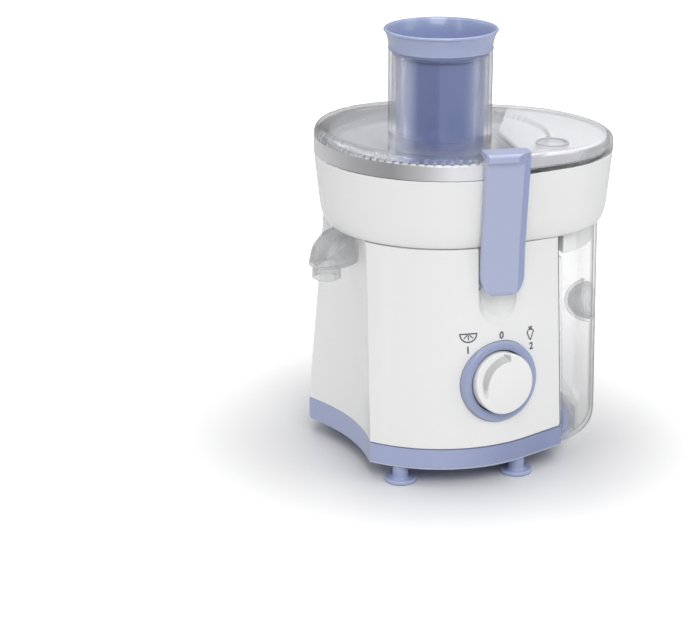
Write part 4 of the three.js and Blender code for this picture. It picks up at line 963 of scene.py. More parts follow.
class JUICER_OT_collector(bpy.types.Operator):
    """Build the white juice collector with its bowl and pulp chute"""

    bl_idname = "juicer.collector"
    bl_label = "Juice collector"

    def execute(self, context):
        foot = collector_z()
        top = LID_Z - SEAM
        floor = foot + 5.5
        curve = [(0, 3.5), (0.35, 2.75), (1.0, 2.15), (2.0, 1.65), (3.4, 1.2), (5.2, 0.8), (7.6, 0.42),
                 (10.5, 0.15), (14, 0)]
        outer = loft([collector_level(foot + z, inset) for z, inset in curve]
                     + [collector_level(z) for z in evenly(foot + 18, top, 4)])
        wall, under_z, collar_bore = 2.6, foot + 2.8, 19
        chute_inset, chute_floor, lip_low = 5.4, foot + 2.7, foot - 15.0
        lip = common(loft([body_level(z, chute_inset - 2) for z in (lip_low, foot + 1)]), beyond(75))
        upper = loft([collector_level(chute_floor, 5), collector_level(chute_floor + 8, wall),
                      collector_level(top + 1, wall)])
        lower = loft([body_level(z, chute_inset) for z in (lip_low - 1, chute_floor + 1)])
        upper = cut(common(upper, beyond(76)), rod(plan().brim_bowl, -FAR, FAR, 180))
        lower = cut(common(lower, beyond(77)), rod(plan().brim_bowl, -FAR, FAR, 180))

        def bowl_radius(z):
            return mix(plan().collector_bowl, plan().brim_bowl, (z - foot) / plan().collector_height) - wall

        bowl = lathe([(0, floor), (bowl_radius(floor) - 6, floor), (bowl_radius(floor) - 2.4, floor + 0.8),
                      (bowl_radius(floor) - 0.6, floor + 3), (bowl_radius(floor + 6), floor + 6),
                      (bowl_radius(top), top), (bowl_radius(top), top + 1), (0, top + 1)], 180)
        under = rod(77.6, foot - 1, under_z, 180)
        rebate = loft([collector_level(z, wall) for z in (LID_Z - 3.6, LID_Z + 1)])
        shell = cut(join(outer, lip), upper, lower, bowl, under, rebate)
        collar = tube(collar_bore, collar_bore + 3, under_z, floor + 11)
        shell = cut(join(shell, collar), rod(collar_bore, foot - 1, floor + 1))
        shell = cut(shell, turned(box((77.0, -12, foot), (DRAIN_END, 12, floor + 1)), SPOUT_TURN))
        look = plastic("Collector moulding", tuple(colours().white), 0.18, 0.02, coat=0.45)
        finish(shell, "collector_shell", "body", look, ["juice_collector"], angle=34.0)
        return {"FINISHED"}


def spout_outline(x, half, low_z, high_z, inset):
    """Rounded upright outline across the spout."""
    corner_share, corner_steps = 0.42, 10
    corner = min(half, high_z - low_z) * corner_share
    points = []
    for side, upper, start in ((1, False, 270), (1, True, 0), (-1, True, 90), (-1, False, 180)):
        z = high_z - corner if upper else low_z + corner
        points += circle(corner - inset, swept(start, start + 90, corner_steps), side * (half - corner), z)
    return [Vector((x, y, z)) for y, z in points]


def smooth_steps(values, count):
    """Values between given stations on a smooth curve through them."""
    result = []
    last = len(values) - 1
    for i in range(count + 1):
        where = i / count * last
        k = min(int(where), last - 1)
        t = where - k
        before = values[max(k - 1, 0)]
        after = values[min(k + 2, last)]
        a, b = values[k], values[k + 1]
        slope_a = [(q - p) / 2 for p, q in zip(before, b)]
        slope_b = [(q - p) / 2 for p, q in zip(a, after)]
        h = (2 * t**3 - 3 * t**2 + 1, t**3 - 2 * t**2 + t, -2 * t**3 + 3 * t**2, t**3 - t**2)
        result.append([h[0] * p + h[1] * s + h[2] * q + h[3] * u for p, s, q, u in zip(a, slope_a, b, slope_b)])
    return result


class JUICER_OT_spout(bpy.types.Operator):
    """Build the smoky clear hood of the spout with its round mouth"""

    bl_idname = "juicer.spout"
    bl_label = "Spout"

    def execute(self, context):
        foot = collector_z()
        bottom = foot - 24.0
        root, tip, top, wall = 74.7, 102.5, foot - SEAM, 1.8
        stations = [(root, 18, bottom + 2, top), (root + 6, 18, bottom + 0.6, top - 0.6),
                    (root + 12, 17.6, bottom, top - 2.8), ((root + 12 + tip) / 2, 15.2, bottom - 0.4, bottom + 14),
                    (tip - 2.8, 9.6, bottom - 0.4, bottom + 6), (tip, 5.4, bottom + 0.3, bottom + 3.4)]
        rings = smooth_steps(stations, 30)
        outer = loft([spout_outline(*ring, 0) for ring in rings])
        inner = []
        for x, half, low_z, high_z in rings:
            x = min(max(x, root + wall), tip - wall)
            if not inner or x > inner[-1][0].x + 0.05:
                inner.append(spout_outline(x, half, low_z, high_z, wall))
        mouth_x = tip - 11.5
        mouth = lathe(raised([(0, -9), (9.9, -9), (10.4, -8.6), (10.5, -8), (10.1, -6.8), (10.1, 2), (0, 2)],
                             bottom), 96)
        mouth = shifted(mouth, mouth_x, 0, 0)
        throat = shifted(rod(8.7, bottom - 10, bottom + 4), mouth_x, 0, 0)
        inlet = box((root + wall, -12, top - 6), (DRAIN_END, 12, top + 1))
        hood = turned(cut(join(outer, mouth), loft(inner), throat, inlet), SPOUT_TURN)
        look = clear("Smoky spout moulding", (0.90, 0.905, 0.92), roughness=0.04, shade=0.9, bend=1.42, haze=0.45,
                     rim=0.06)
        finish(hood, "spout_hood", "body", look, ["spout"], 0.35, 40.0)
        return {"FINISHED"}


# ---- Lid, pulp guide and pusher ----


def outward(spot, normal):
    """Share of a face's normal that points away from the filter's axis."""
    return (normal.x * spot.x + normal.y * spot.y) / max(math.hypot(spot.x, spot.y), 1e-6)


class JUICER_OT_lid(bpy.types.Operator):
    """Build the clear lid with its feed tube, and the satin skirt round its bowl side"""

    bl_idname = "juicer.lid"
    bl_label = "Lid"

    def execute(self, context):
        p = plan()
        top = lid_top_z()
        groove_height, groove_depth, wall, lip_inset, lip_wall = 0.6, 0.9, 2.4, 2.9, 1.6
        outer = loft([lid_level(LID_Z, groove_depth), lid_level(LID_Z + groove_height, groove_depth),
                      lid_level(LID_Z + groove_height)] + rounded_lid(top, 0, p.lid_fillet, 10))
        lip = loft([collector_level(z, lip_inset) for z in (LID_Z - 3, LID_Z + 1)])
        within = lip_inset + lip_wall
        inside = loft([collector_level(LID_Z - 4, within), lid_level(LID_Z + 2.5, within),
                       lid_level(LID_Z + 4.5, wall)] + rounded_lid(top - ROOF, wall, p.lid_fillet - wall, 8))
        shell = cut(join(outer, lip), inside)
        outside, bore = 37, 34.5
        barrel = [(0, top - 29), (outside, top - 29)]
        barrel += raised([(outside, -0.6), (outside - 0.4, -0.1), (outside - 1.4, 0), (0, 0)], TUBE_TOP_Z)
        shell = cut(join(shell, lathe(barrel, 160)), rod(bore, top - 30, TUBE_TOP_Z + 1, 160))
        look = clear("Clear lid moulding", tuple(colours().clear), roughness=0.03, shade=0.99, bend=1.3, haze=0.5,
                     rim=0.25)
        finish(shell, "lid_shell", "body", look, ["lid"], 0.0, 36.0, merge=False)

        def on_skirt(spot, normal):
            return (spot.z < LID_Z + 10.5 and spot.x < 12 and outward(spot, normal) > 0.6
                    and math.hypot(spot.x, spot.y) > p.brim_bowl - 1.5)

        def in_groove(spot, normal):
            return (abs(spot.z - LID_Z - groove_height / 2) < 0.35 and abs(normal.z) < 0.5
                    and outward(spot, normal) > 0.6)

        touch_up(shell, self.trim(), on_skirt)
        # Painted shade: the groove under the lid's edge is coloured nearly black, as the line of shade where the
        # lid meets the collector.
        touch_up(shell, painted_gap_shade("Lid seal", (0.05, 0.05, 0.055)), in_groove)
        return {"FINISHED"}

    def trim(self):
        """Satin silver with a painted sheen: lighter and darker bands of reflection painted round the filter's
        axis.
        """
        look = metal("Satin trim", (0.88, 0.88, 0.90), 0.36, bump=0.000006, metallic=0.35)
        painted_sheen = [(0.0, 0.92), (0.05, 0.74), (0.10, 0.5), (0.15, 0.34), (0.19, 0.62), (0.225, 1.0), (0.30, 1.0),
                 (0.5, 0.7), (0.75, 0.9), (0.9, 0.7), (1.0, 0.92)]
        banded(look, [(place, (tone, tone, tone * 1.01)) for place, tone in painted_sheen], "MULTIPLY", 1.0)
        return look


class JUICER_OT_guide(bpy.types.Operator):
    """Build the pale tray that leads the pulp to the container"""

    bl_idname = "juicer.guide"
    bl_label = "Pulp guide"

    def execute(self, context):
        ceiling = lid_top_z() - ROOF - SEAM
        bottom = lid_top_z() - ROOF - 11
        wall, thickness, ring_x, ring_y, ring_bore, ring_outer = 1.6, 1.4, 69, -47, 10.4, 11.8

        def block(top, inset, under):
            return loft([lid_level(under, inset), lid_level(top - 2, inset), lid_level(top - 0.5, inset + 0.4),
                         lid_level(top, inset + 1.5)])

        side, corner_x, corner_y, reach, slant = 4.8, 42.5, -3.5, 200, 0.4
        shell = common(block(ceiling, side, bottom), beyond(42))
        deck = max(bottom + 1.6, high("filter_rim").z + 2.6)
        shell = cut(shell, block(ceiling + 4, side + wall, deck))
        shell = cut(shell, block(deck - thickness, side + wall, bottom - 1))
        shell = join(shell, shifted(tube(ring_bore, ring_outer, deck - 0.6, deck + 2.2), ring_x, ring_y, 0))
        corner = prism([(corner_x - reach * slant, corner_y - reach), (corner_x + reach * slant, corner_y + reach),
                        (-FAR, FAR), (-FAR, corner_y)], -FAR, FAR)
        shell = cut(shell, common(corner, box((-FAR, corner_y, -FAR), (FAR, FAR, FAR))))
        look = plastic("Guide moulding", (0.86, 0.86, 0.88), 0.3, 0.03, coat=0.15)
        finish(shell, "pulp_guide_shell", "body", look, ["pulp_guide"], 0.4, 36.0)
        # Painted shade: the upright sides of the tray and the bore of its ring get a mid grey, as the shade on
        # faces turned from the lights.
        touch_up(shell, plastic("Guide sides", (0.50, 0.50, 0.53), 0.3, 0.06, coat=0.15),
                 lambda spot, normal: abs(normal.z) < 0.3
                 or math.hypot(spot.x - ring_x, spot.y - ring_y) < ring_bore + 0.1)
        return {"FINISHED"}


class JUICER_OT_pusher(bpy.types.Operator):
    """Build the lavender pusher with its flared rim and hollow top"""

    bl_idname = "juicer.pusher"
    bl_label = "Pusher"

    def execute(self, context):
        seat = TUBE_TOP_Z + SEAM
        top = RIM_TOP_Z
        bottom = low("pusher").z
        floor = top - 20
        barrel, bead = 31.5, 1.15
        profile = raised([(0, 0), (barrel - 2, 0), (barrel - 0.5, 0.5), (barrel, 1.6)], bottom)
        profile += [(barrel, lid_top_z()), (barrel, seat)]
        profile += raised([(36.7, 0), (37.15, 0.15), (37.4, 0.5), (37.4, 1.0), (37.1, 1.4), (37.1, 3), (37.35, 5),
                           (37.8, 7), (38.4, 9), (39.1, 10.8)], seat)
        profile += [(39.3, top - 2.8)]
        profile += circle(bead, swept(-75, 150, 14), 39.45, top - bead)
        profile += raised([(37.9, -1.9), (37.0, -3.4), (36.2, -5.6), (35.5, -8.5), (35.0, -12)], top)
        profile += raised([(34.6, 3.4), (34.2, 1.9), (33.4, 0.9), (32.4, 0.5), (31.2, 0.7), (30.0, 1.3),
                           (29.0, 1.6), (0, 1.6)], floor)
        body = lathe(profile, 160)
        body = cut(body, rod(29.3, bottom - 1, floor - 2.2, 128))
        look = plastic("Pusher moulding", tuple(colours().lavender), 0.24, 0.04, coat=0.4)
        finish(body, "pusher_shell", "pusher", look, ["pusher"], 0.0, 42.0)
        touch_up(body, self.barrel(), lambda spot, normal: spot.z < seat - 0.05)
        # Painted shade: the inside of the hollow top gets a darker lavender, as the shade inside the cup.
        touch_up(body, plastic("Pusher cup", (0.27, 0.32, 0.51), 0.28, 0.04),
                 lambda spot, normal: seat - 0.05 <= spot.z < top - 1.6 and outward(spot, normal) < 0)
        touch_up(body, plastic("Pusher foot", (0.34, 0.40, 0.62), 0.28, 0.05),
                 lambda spot, normal: spot.z < lid_top_z())
        return {"FINISHED"}

    def barrel(self):
        """Lavender in soft upright bands of light and shade, as it stands in the feed tube."""
        look = plastic("Pusher barrel", tuple(colours().lavender), 0.3, 0.03, coat=0.3)
        bands = [(0.0, (0.50, 0.53, 0.68)), (0.06, (0.48, 0.51, 0.67)), (0.095, (0.30, 0.34, 0.52)),
                 (0.13, (0.085, 0.115, 0.27)), (0.203, (0.08, 0.11, 0.26)), (0.209, (0.115, 0.15, 0.31)),
                 (0.30, (0.12, 0.155, 0.32)), (0.36, (0.26, 0.30, 0.48)), (0.43, (0.22, 0.26, 0.45)),
                 (0.47, (0.13, 0.16, 0.31)), (0.55, (0.25, 0.30, 0.50)), (0.90, (0.30, 0.35, 0.55)),
                 (0.97, (0.17, 0.20, 0.37)), (1.0, (0.50, 0.53, 0.68))]
        banded(look, bands, "MIX", 0.9)
        return look


# ---- Knob ----


class JUICER_OT_knob(bpy.types.Operator):
    """Build the speed knob with its stepped grip, and the ring round it"""

    bl_idname = "juicer.knob"
    bl_label = "Speed knob"

    def execute(self, context):
        here = knob_frame()
        edge, well = plan().ring, plan().knob + PASSING
        bore, back, well_floor = 3.6, -8, -5
        ring = lathe([(bore, back), (edge - 0.4, back), (edge, back + 0.4), (edge, 0.2), (edge - 0.2, 1.1),
                      (edge - 0.8, 1.8), (edge - 1.9, 2.1), (edge - 3.3, 1.9), (well + 1.5, 1.2), (well + 0.7, 0.7),
                      (well + 0.2, 0), (well, -1), (well, well_floor), (bore, well_floor)], 160)
        look = plastic("Ring moulding", (0.33, 0.385, 0.57), 0.3, 0.06)
        ring = moved(ring, here)
        finish(ring, "knob_ring_shell", "body", look, ["knob_ring"], 0.0, 38.0)

        def away_and_lift(spot):
            lift = (spot - here.translation).dot(here.col[2].xyz)
            return (spot - here.translation - here.col[2].xyz * lift).length, lift

        def in_well(spot, normal):
            away, lift = away_and_lift(spot)
            return away < well + 0.25 and lift < 0.2

        # Painted shade: the well round the knob is coloured nearly black, as the shade in the gap between knob and
        # ring.
        touch_up(ring, painted_gap_shade("Ring well", (0.05, 0.06, 0.10)), in_well)
        knob = moved(self.face(), here)
        look = plastic("Knob moulding", tuple(colours().white), 0.22, 0.02, coat=0.35)
        finish(knob, "speed_knob_shell", "knob", look, ["speed_knob"], 0.0, 60.0)
        # Painted shade: the sloped faces of the knob's step get three greys, darker the steeper they tilt, as the
        # shade on the crescent.
        for number, (grey, upright) in enumerate(((0.74, 0.94), (0.62, 0.87), (0.50, 0.80))):

            def on_shaded_step(spot, normal):
                away, lift = away_and_lift(spot)
                return away < 20.6 and lift > 0 and normal.dot(here.col[2].xyz) < upright

            touch_up(knob, plastic("Knob step %d" % number, (grey, grey, grey), 0.3, 0.03, coat=0.2), on_shaded_step)
        return {"FINISHED"}

    def face(self):
        """Closed knob whose front is a height over its disc."""
        radius, back = plan().knob, -4.7
        rings, segments = 66, 200
        turns = swept(0, 360, segments)[:-1]
        bm = bmesh.new()
        rows = []
        centre = bm.verts.new((0, 0, self.height(0, 0)))
        for reach in evenly(0, radius, rings)[1:]:
            rows.append([bm.verts.new((x, y, self.height(x, y))) for x, y in circle(reach, turns)])
        rows.append([bm.verts.new((v.co.x, v.co.y, back + 0.5)) for v in rows[-1]])
        rows.append([bm.verts.new((v.co.x * 0.97, v.co.y * 0.97, back)) for v in rows[-1]])
        for i in range(segments):
            bm.faces.new((centre, rows[0][i], rows[0][(i + 1) % segments]))
        for lower, upper in zip(rows, rows[1:]):
            for i in range(segments):
                after = (i + 1) % segments
                bm.faces.new((lower[i], upper[i], upper[after], lower[after]))
        bm.faces.new(rows[-1])
        return solid(bm)

    def height(self, x, y):
        """Height of the knob's front: a plateau low and to the right, and a crescent that runs up into it."""
        plateau_x, plateau_y, plateau_radius = 3.6, -2.2, 20.0
        grip_x, grip_y, step_width, step_depth = 2.5, -4, 4.4, 4.0
        crescent_end, crescent_run = 232, 95
        crown, bow = 9.7, 0.0035
        corner_start, corner_width, corner_depth = 20.7, 1.8, 1.7
        away = math.hypot(x - plateau_x, y - plateau_y) - plateau_radius
        outside = min(away, grip_x - x) if y > grip_y else away if x < grip_x else -5
        step = eased((outside + 2.6) / step_width)
        fade = eased((crescent_end - math.degrees(math.atan2(y, x)) % 360) / crescent_run)
        top = crown - bow * ((x - 3) ** 2 + (y + 2) ** 2)
        rim = max(math.hypot(x, y) - corner_start, 0) / corner_width
        return top - step_depth * step * fade - corner_depth * (1 - math.sqrt(max(1 - rim * rim, 0)))


# ---- Clamps and pulp container ----


class JUICER_OT_clamps(bpy.types.Operator):
    """Build the two side clamps that hook over the lid"""

    bl_idname = "juicer.clamps"
    bl_label = "Clamps"

    def execute(self, context):
        look = plastic("Clamp moulding", (0.42, 0.465, 0.66), 0.24, 0.04, coat=0.4)
        shaded_flank_look = plastic("Clamp flank", (0.31, 0.36, 0.57), 0.28, 0.04)
        for name, side in SIDES.items():
            clamp = "clamp_" + name
            thing = at_clamp(self.arm(side), side)
            finish(thing, clamp + "_arm", clamp, look, [clamp], angle=30.0)
            # Painted shade: the faces turned towards the container, the wide bevel among them, get a darker
            # lavender, as the side the light misses.
            touch_up(thing, shaded_flank_look, lambda spot, normal: normal.x > 0.25)
        return {"FINISHED"}

    def arm(self, side):
        """Arm that leans out with the collector above its crease, with a wide bevel on the container's side."""
        p = plan()
        pin_x, pin_z = clamp_pin()
        foot_z = collector_z()
        inner, foot_inner = p.brim_bowl + 1.2, p.collector_bowl + 1.2
        face, foot_face = inner + 6.0, foot_inner + 3.8
        hook_low = lid_top_z() + SEAM
        hook_top = hook_low + 3.6
        tip, lip, shoulder = p.brim_bowl - 8, face + 3.2, hook_top - 7.5
        lean = (face - foot_face) / (shoulder - foot_z)
        edge, crown, land, bevel = p.clamp_width / 2, 2.6, 0.7, 10
        profile = [(tip, hook_low), (inner, hook_low), (inner, LID_Z), (foot_inner, foot_z), (pin_x, pin_z + 8.7)]
        profile += circle(CLAMP_END, swept(125, 360, 20), pin_x, pin_z)
        profile += [(foot_face, foot_z)] + raised([(face, 0), (face + 0.5, 0.5), (lip - 0.7, 1.7), (lip - 0.2, 2.2),
                                                   (lip, 2.9)], shoulder)
        profile += circle(crown, swept(0, 90, 8), lip - crown, hook_top - crown)
        profile += [(tip + 0.8, hook_top), (tip, hook_top - 0.8)]
        outline = [(0, -edge), (foot_face - 0.9, -edge), (foot_face, land - edge), (FAR, land - edge),
                   (FAR, edge - bevel), (foot_face + 2.6, edge - bevel), (foot_face - 2.6, edge), (0, edge)]
        if side > 0:
            outline = [(x, -y) for x, y in reversed(outline)]
        upright = prism(outline, 0, foot_z)
        shear = Matrix.Identity(4)
        shear[0][2] = lean
        leaning = shifted(moved(prism(outline, 0, FAR), shear), 0, 0, foot_z)
        end_z = pin_z - CLAMP_END + edge
        front = circle(edge, swept(180, 360, 48), 0, end_z)
        front += [(edge + 1, end_z), (edge + 1, FAR), (-edge - 1, FAR), (-edge - 1, end_z)]
        front = loft([[Vector((x, y, z)) for y, z in front] for x in (0, FAR)])
        arm = common(sideways(profile, 2 * edge + 2), join(upright, leaning), front)
        channel = box((0, -6.6, 0), (pin_x + 4.1, 6.6, pin_z + 5))
        low_z, high_z = foot_z + 4.4, lid_top_z() - 4.4
        back = sideways([(0, low_z), (foot_face - 2.2, low_z), (face - 4.4, high_z), (0, high_z)], 2 * edge - 9.6)
        pin = shifted(lying(rod(1.95, -11, 11, 32)), pin_x, 0, pin_z)
        return cut(arm, channel, back, pin)


class JUICER_OT_container(bpy.types.Operator):
    """Build the clear pulp container with its grip pocket"""

    bl_idname = "juicer.container"
    bl_label = "Pulp container"

    def execute(self, context):
        bottom = BASE_Z + 1
        top = collector_z() - SEAM - PASSING
        wall = 2.2
        floor = bottom + wall

        def curve(z, extra):
            return [(z, extra + 6), (z + 0.6, extra + 4.1), (z + 1.4, extra + 2.9), (z + 2.8, extra + 1.7),
                    (z + 5, extra + 0.7), (z + 7.5, extra + 0.2), (z + 10, extra)]

        outer = [body_level(*c) for c in curve(bottom, 0)] + body_stack(bottom + 25, top)
        outer = common(loft(outer), beyond_seam(PASSING))
        inner = [body_level(*c) for c in curve(floor, wall)] + body_stack(floor + 25, top + 1, wall)
        notch_x, notch_y = TONGUE["end"] + PASSING + 1, TONGUE["half"] + PASSING + 1
        notch_z = HOUSING_Z + TONGUE["rise"] + PASSING
        notch = box((-FAR, -notch_y, -FAR), (notch_x, notch_y, notch_z))
        step = box((-FAR, -notch_y - wall, -FAR), (notch_x + wall, notch_y + wall, notch_z + wall))
        tip_x = plan().body_nose_x + body_sizes(GRIP["height"])[1]

        def ball(extra):
            profile = [(0, -1)] + circle(1, swept(-90, 90, 36)[1:-1]) + [(0, 1)]
            stretch = Matrix.Diagonal((GRIP["x"] + extra, GRIP["y"] + extra, GRIP["z"] + extra, 1))
            return shifted(moved(lathe(profile, 72), stretch), tip_x, 0, GRIP["height"])

        room = cut(common(loft(inner), beyond_seam(PASSING + wall)), step)
        room = cut(room, ball(wall))
        mouth = common(loft(inner), beyond(65, collector_z() - 17))
        shell = outer
        for tool in (room, mouth, notch, ball(0)):
            shell = cut(shell, tool)
        look = clear("Clear container moulding", (0.98, 0.98, 0.985), roughness=0.03, shade=0.99, bend=1.2,
                     haze=0.75)
        finish(shell, "container_shell", "container", look, ["pulp_container"], 0.35, 36.0)

        def in_grip(spot, normal):
            return math.sqrt(((spot.x - tip_x) / GRIP["x"]) ** 2 + (spot.y / GRIP["y"]) ** 2
                             + ((spot.z - GRIP["height"]) / GRIP["z"]) ** 2) < 1.04

        # Painted shade: the pocket's faces get a grey clear tint, as the shade inside the grip pocket.
        look = clear("Smoky grip moulding", (0.62, 0.63, 0.67), roughness=0.05, shade=0.7, bend=1.3, haze=0.4)
        touch_up(shell, look, in_grip)
        return {"FINISHED"}


# ---- Filter ----


class JUICER_OT_filter(bpy.types.Operator):
    """Build the filter's smooth skins with their perforations, grater teeth and rim lugs"""

    bl_idname = "juicer.filter"
    bl_label = "Filter"

    def execute(self, context):
        size = context.scene.juicer_filter
        grater_z = low("grater_disc").z
        rim_low, rim_high = low("filter_rim").z, high("filter_rim").z
        skins = {
            "filter_cone": [(39.8, grater_z), (40.9, grater_z)]
            + raised([(75.6, -0.3), (77.6, -0.3), (77.6, -0.2), (74.5, -0.2)], rim_low),
            "filter_rim": [(75.9, rim_low), (79.0, rim_low), (79.5, rim_low + 0.5)]
            + raised([(79.5, -1.0), (79.1, -0.35), (78.2, 0), (76.6, 0), (75.9, -0.6)], rim_high),
            "grater_disc": raised([(0, 0), (39.5, 0), (39.5, 1.1), (39.2, 1.4), (6, 1.4), (5.4, 2.2), (0, 2.4)],
                                  grater_z),
        }
        for name, profile in skins.items():
            flat = name == "filter_cone"
            thing = lathe(profile, 160 if name == "grater_disc" else 180)
            finish(thing, name + "_skin", "rotor", steel(), [name], 0.0, 30.0 if flat else 34.0)
        shade = plastic("Perforation shade", (0.16, 0.16, 0.17), 0.6, 0.3, coat=0.0)
        bright = metal("Grater teeth steel", (0.66, 0.66, 0.68), 0.2)
        hole = prism(circle(size.hole, swept(0, 300, 5)), -0.05, 0.12)
        cone_foot, cone_brim = 40.4, 75.0
        slope = math.atan2(cone_brim - cone_foot, rim_low - grater_z)
        self.rows("filter_perforations", hole, shade, size.rows, size.per_row, 7, (42.4, 72.0),
                  (grater_z + 2.6, rim_low - 3.2), slope - math.pi / 2)
        tooth = loft([[(-0.9, -0.55, 0), (0.9, -0.4, 0), (0.9, 0.4, 0), (-0.9, 0.55, 0)],
                      [(0.3, -0.08, 1.1), (0.6, -0.06, 1.0), (0.6, 0.06, 1.0), (0.3, 0.08, 1.1)]])
        self.rows("grater_teeth", tooth, bright, 7, 26, 11, (11.0, 36.0), (grater_z + 1.35,) * 2, uneven=0.35)
        lug = box((-1.6, -1.1, -0.2), (1.4, 1.1, 1.7))
        self.rows("filter_rim_lugs", lug, bright, 1, size.lugs, 3, (77.6, 77.6), (rim_high,) * 2, edge=0.25)
        return {"FINISHED"}

    def rows(self, name, part, look, rows, per_row, seed, radii, heights, slope=0.0, uneven=0.0, edge=0.0):
        """Rows of one part round the filter, from the low to the high radius and height."""
        thing = grown(name, "Rows round a cone", [], {
            "Part": part, "Rows": rows, "Per row": per_row, "Seed": seed, "Low radius": radii[0],
            "High radius": radii[1], "Low height": heights[0], "High height": heights[1], "Slope": slope,
            "Uneven": uneven, "Material": look})
        finish(thing, name, "rotor", look, (), edge, 30.0)


# ---- Printed marks ----


def front_point(turn, along, z, lift):
    """Point at an arc length from a turn of the bowl circle, on the housing's front at a height."""
    bowl, nose = body_sizes(z)
    tangent = -math.acos((bowl - nose) / plan().body_nose_x)
    reach = (tangent - turn) * bowl
    lean = body_lean()
    angle = turn + along / bowl if along <= reach else tangent
    place = Vector((bowl * math.cos(angle), bowl * math.sin(angle), z))
    if along > reach:
        place += Vector((-math.sin(angle), math.cos(angle), 0)) * (along - reach)
    normal = Vector((math.cos(angle) * math.cos(lean), math.sin(angle) * math.cos(lean), math.sin(lean)))
    return place + normal * lift


def stroke(points, width):
    """Flat ribbon along points, as quads of XY positions."""
    quads = []
    for (ax, ay), (bx, by) in zip(points, points[1:]):
        length = math.hypot(bx - ax, by - ay)
        ux, uy = (bx - ax) / length, (by - ay) / length
        nx, ny = -uy * width / 2, ux * width / 2
        ex, ey = ux * width / 4, uy * width / 4
        quads.append([(ax - ex + nx, ay - ey + ny), (ax - ex - nx, ay - ey - ny), (bx + ex - nx, by + ey - ny),
                      (bx + ex + nx, by + ey + ny)])
    return quads


def digit(text, size):
    """Faces of one digit centred on its own box."""
    words = bpy.data.curves.new("digit", "FONT")
    words.body = text
    words.size = size
    words.resolution_u = 6
    words.offset = size * 0.03
    thing = new_object("digit", words)
    bpy.context.view_layer.update()
    mesh = bpy.data.meshes.new_from_object(thing.evaluated_get(bpy.context.evaluated_depsgraph_get()))
    xs = [v.co.x for v in mesh.vertices]
    ys = [v.co.y for v in mesh.vertices]
    centre_x, centre_y = (min(xs) + max(xs)) / 2, (min(ys) + max(ys)) / 2
    faces = [[(mesh.vertices[i].co.x - centre_x, mesh.vertices[i].co.y - centre_y) for i in face.vertices]
             for face in mesh.polygons]
    bpy.data.objects.remove(thing)
    return faces


class JUICER_OT_marks(bpy.types.Operator):
    """Print the speed numbers and two plain icons round the knob"""

    bl_idname = "juicer.marks"
    bl_label = "Speed marks"

    def execute(self, context):
        bold, fine, size, lift = 0.95, 0.8, 7.0, 0.12
        slice_icon = stroke(circle(6.0, swept(180, 360, 14)), bold)
        slice_icon += stroke([(x, 0) for x in evenly(-6.3, 6.3, 6)], bold)
        for angle in swept(225, 315, 2):
            slice_icon += stroke(circle(1.2, [angle]) + circle(4.4, [angle]), fine)
        root_icon = stroke(circle(3.0, swept(20, 160, 12), 0, 0.2) + [(-0.4, -4.3), (0.4, -4.3), (2.8, 1.2)], 0.9)
        for lean in (-1.3, 0, 1.3):
            root_icon += stroke([(lean * 0.5, 3.2), (lean, 5.2)], fine)
        marks = [(digit("0", size), 4.4, 108.3), (digit("1", size), -21.3, 100.4), (digit("2", size), 30.3, 95.6),
                 (slice_icon, -20.8, 112.0), (root_icon, 29.4, 104.8)]
        bm = bmesh.new()
        turn = math.radians(-77)
        for faces, along, z in marks:
            for face in faces:
                bm.faces.new([bm.verts.new(front_point(turn, along + x, z + y, lift)) for x, y in face])
        bmesh.ops.remove_doubles(bm, verts=bm.verts, dist=1e-4)
        thing = moved(from_bmesh(bm, "speed_marks"), PLACE)
        paint(thing, plastic("Printed ink", tuple(colours().ink), 0.5, 0.25, flow=0.1, coat=0.0))
        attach(thing, "body")
        return {"FINISHED"}


# ---- Small and inner nodes ----


class JUICER_OT_inner(bpy.types.Operator):
    """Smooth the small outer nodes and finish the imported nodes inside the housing"""

    bl_idname = "juicer.inner"
    bl_label = "Inner pieces"

    def execute(self, context):
        black = plastic("Black moulding", (0.02, 0.02, 0.022), 0.42, 0.2, coat=0.05)
        rubber = plastic("Rubber and carbon", (0.018, 0.018, 0.02), 0.75, 0.3, flow=0.1, bump=0.00003, coat=0.0,
                         grain=900.0)
        iron = metal("Stacked iron", (0.22, 0.22, 0.24), 0.45, bump=0.00006, lines=1500.0)
        copper = metal("Copper winding", (0.62, 0.30, 0.15), 0.34, bump=0.00008, lines=1200.0)
        bright = metal("Bearing steel", (0.55, 0.55, 0.58), 0.22)
        for name, body, slot, look in (
                ("clamp_pin_front", "body", "steel", bright), ("clamp_pin_rear", "body", "steel", bright),
                ("cord_gland", "body", "black_plastic", black), ("filter_hub", "rotor", "black_plastic", black)):
            finish(copied(name), name + "_skin", body, look, [name], 0.0, 30.0, place=False)
        mounts = ["motor_mount_%d" % number for number in range(1, 5)]
        for look, names in (
                (bright, ["motor_shaft", "upper_bearing", "lower_bearing", "switch_spindle"]),
                (steel(), ["motor_top_bracket", "motor_bottom_bracket"]),
                (iron, ["armature_core", "stator_core"]),
                (copper, ["commutator", "field_coil_left", "field_coil_right"]),
                (black, ["cooling_fan", "drive_coupling", "brush_holder_front", "brush_holder_rear",
                         "rotary_switch"]),
                (rubber, ["shaft_seal", "carbon_brush_front", "carbon_brush_rear", *mounts])):
            for name in names:
                paint(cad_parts[name], look)
        return {"FINISHED"}


# ---- Studio ----


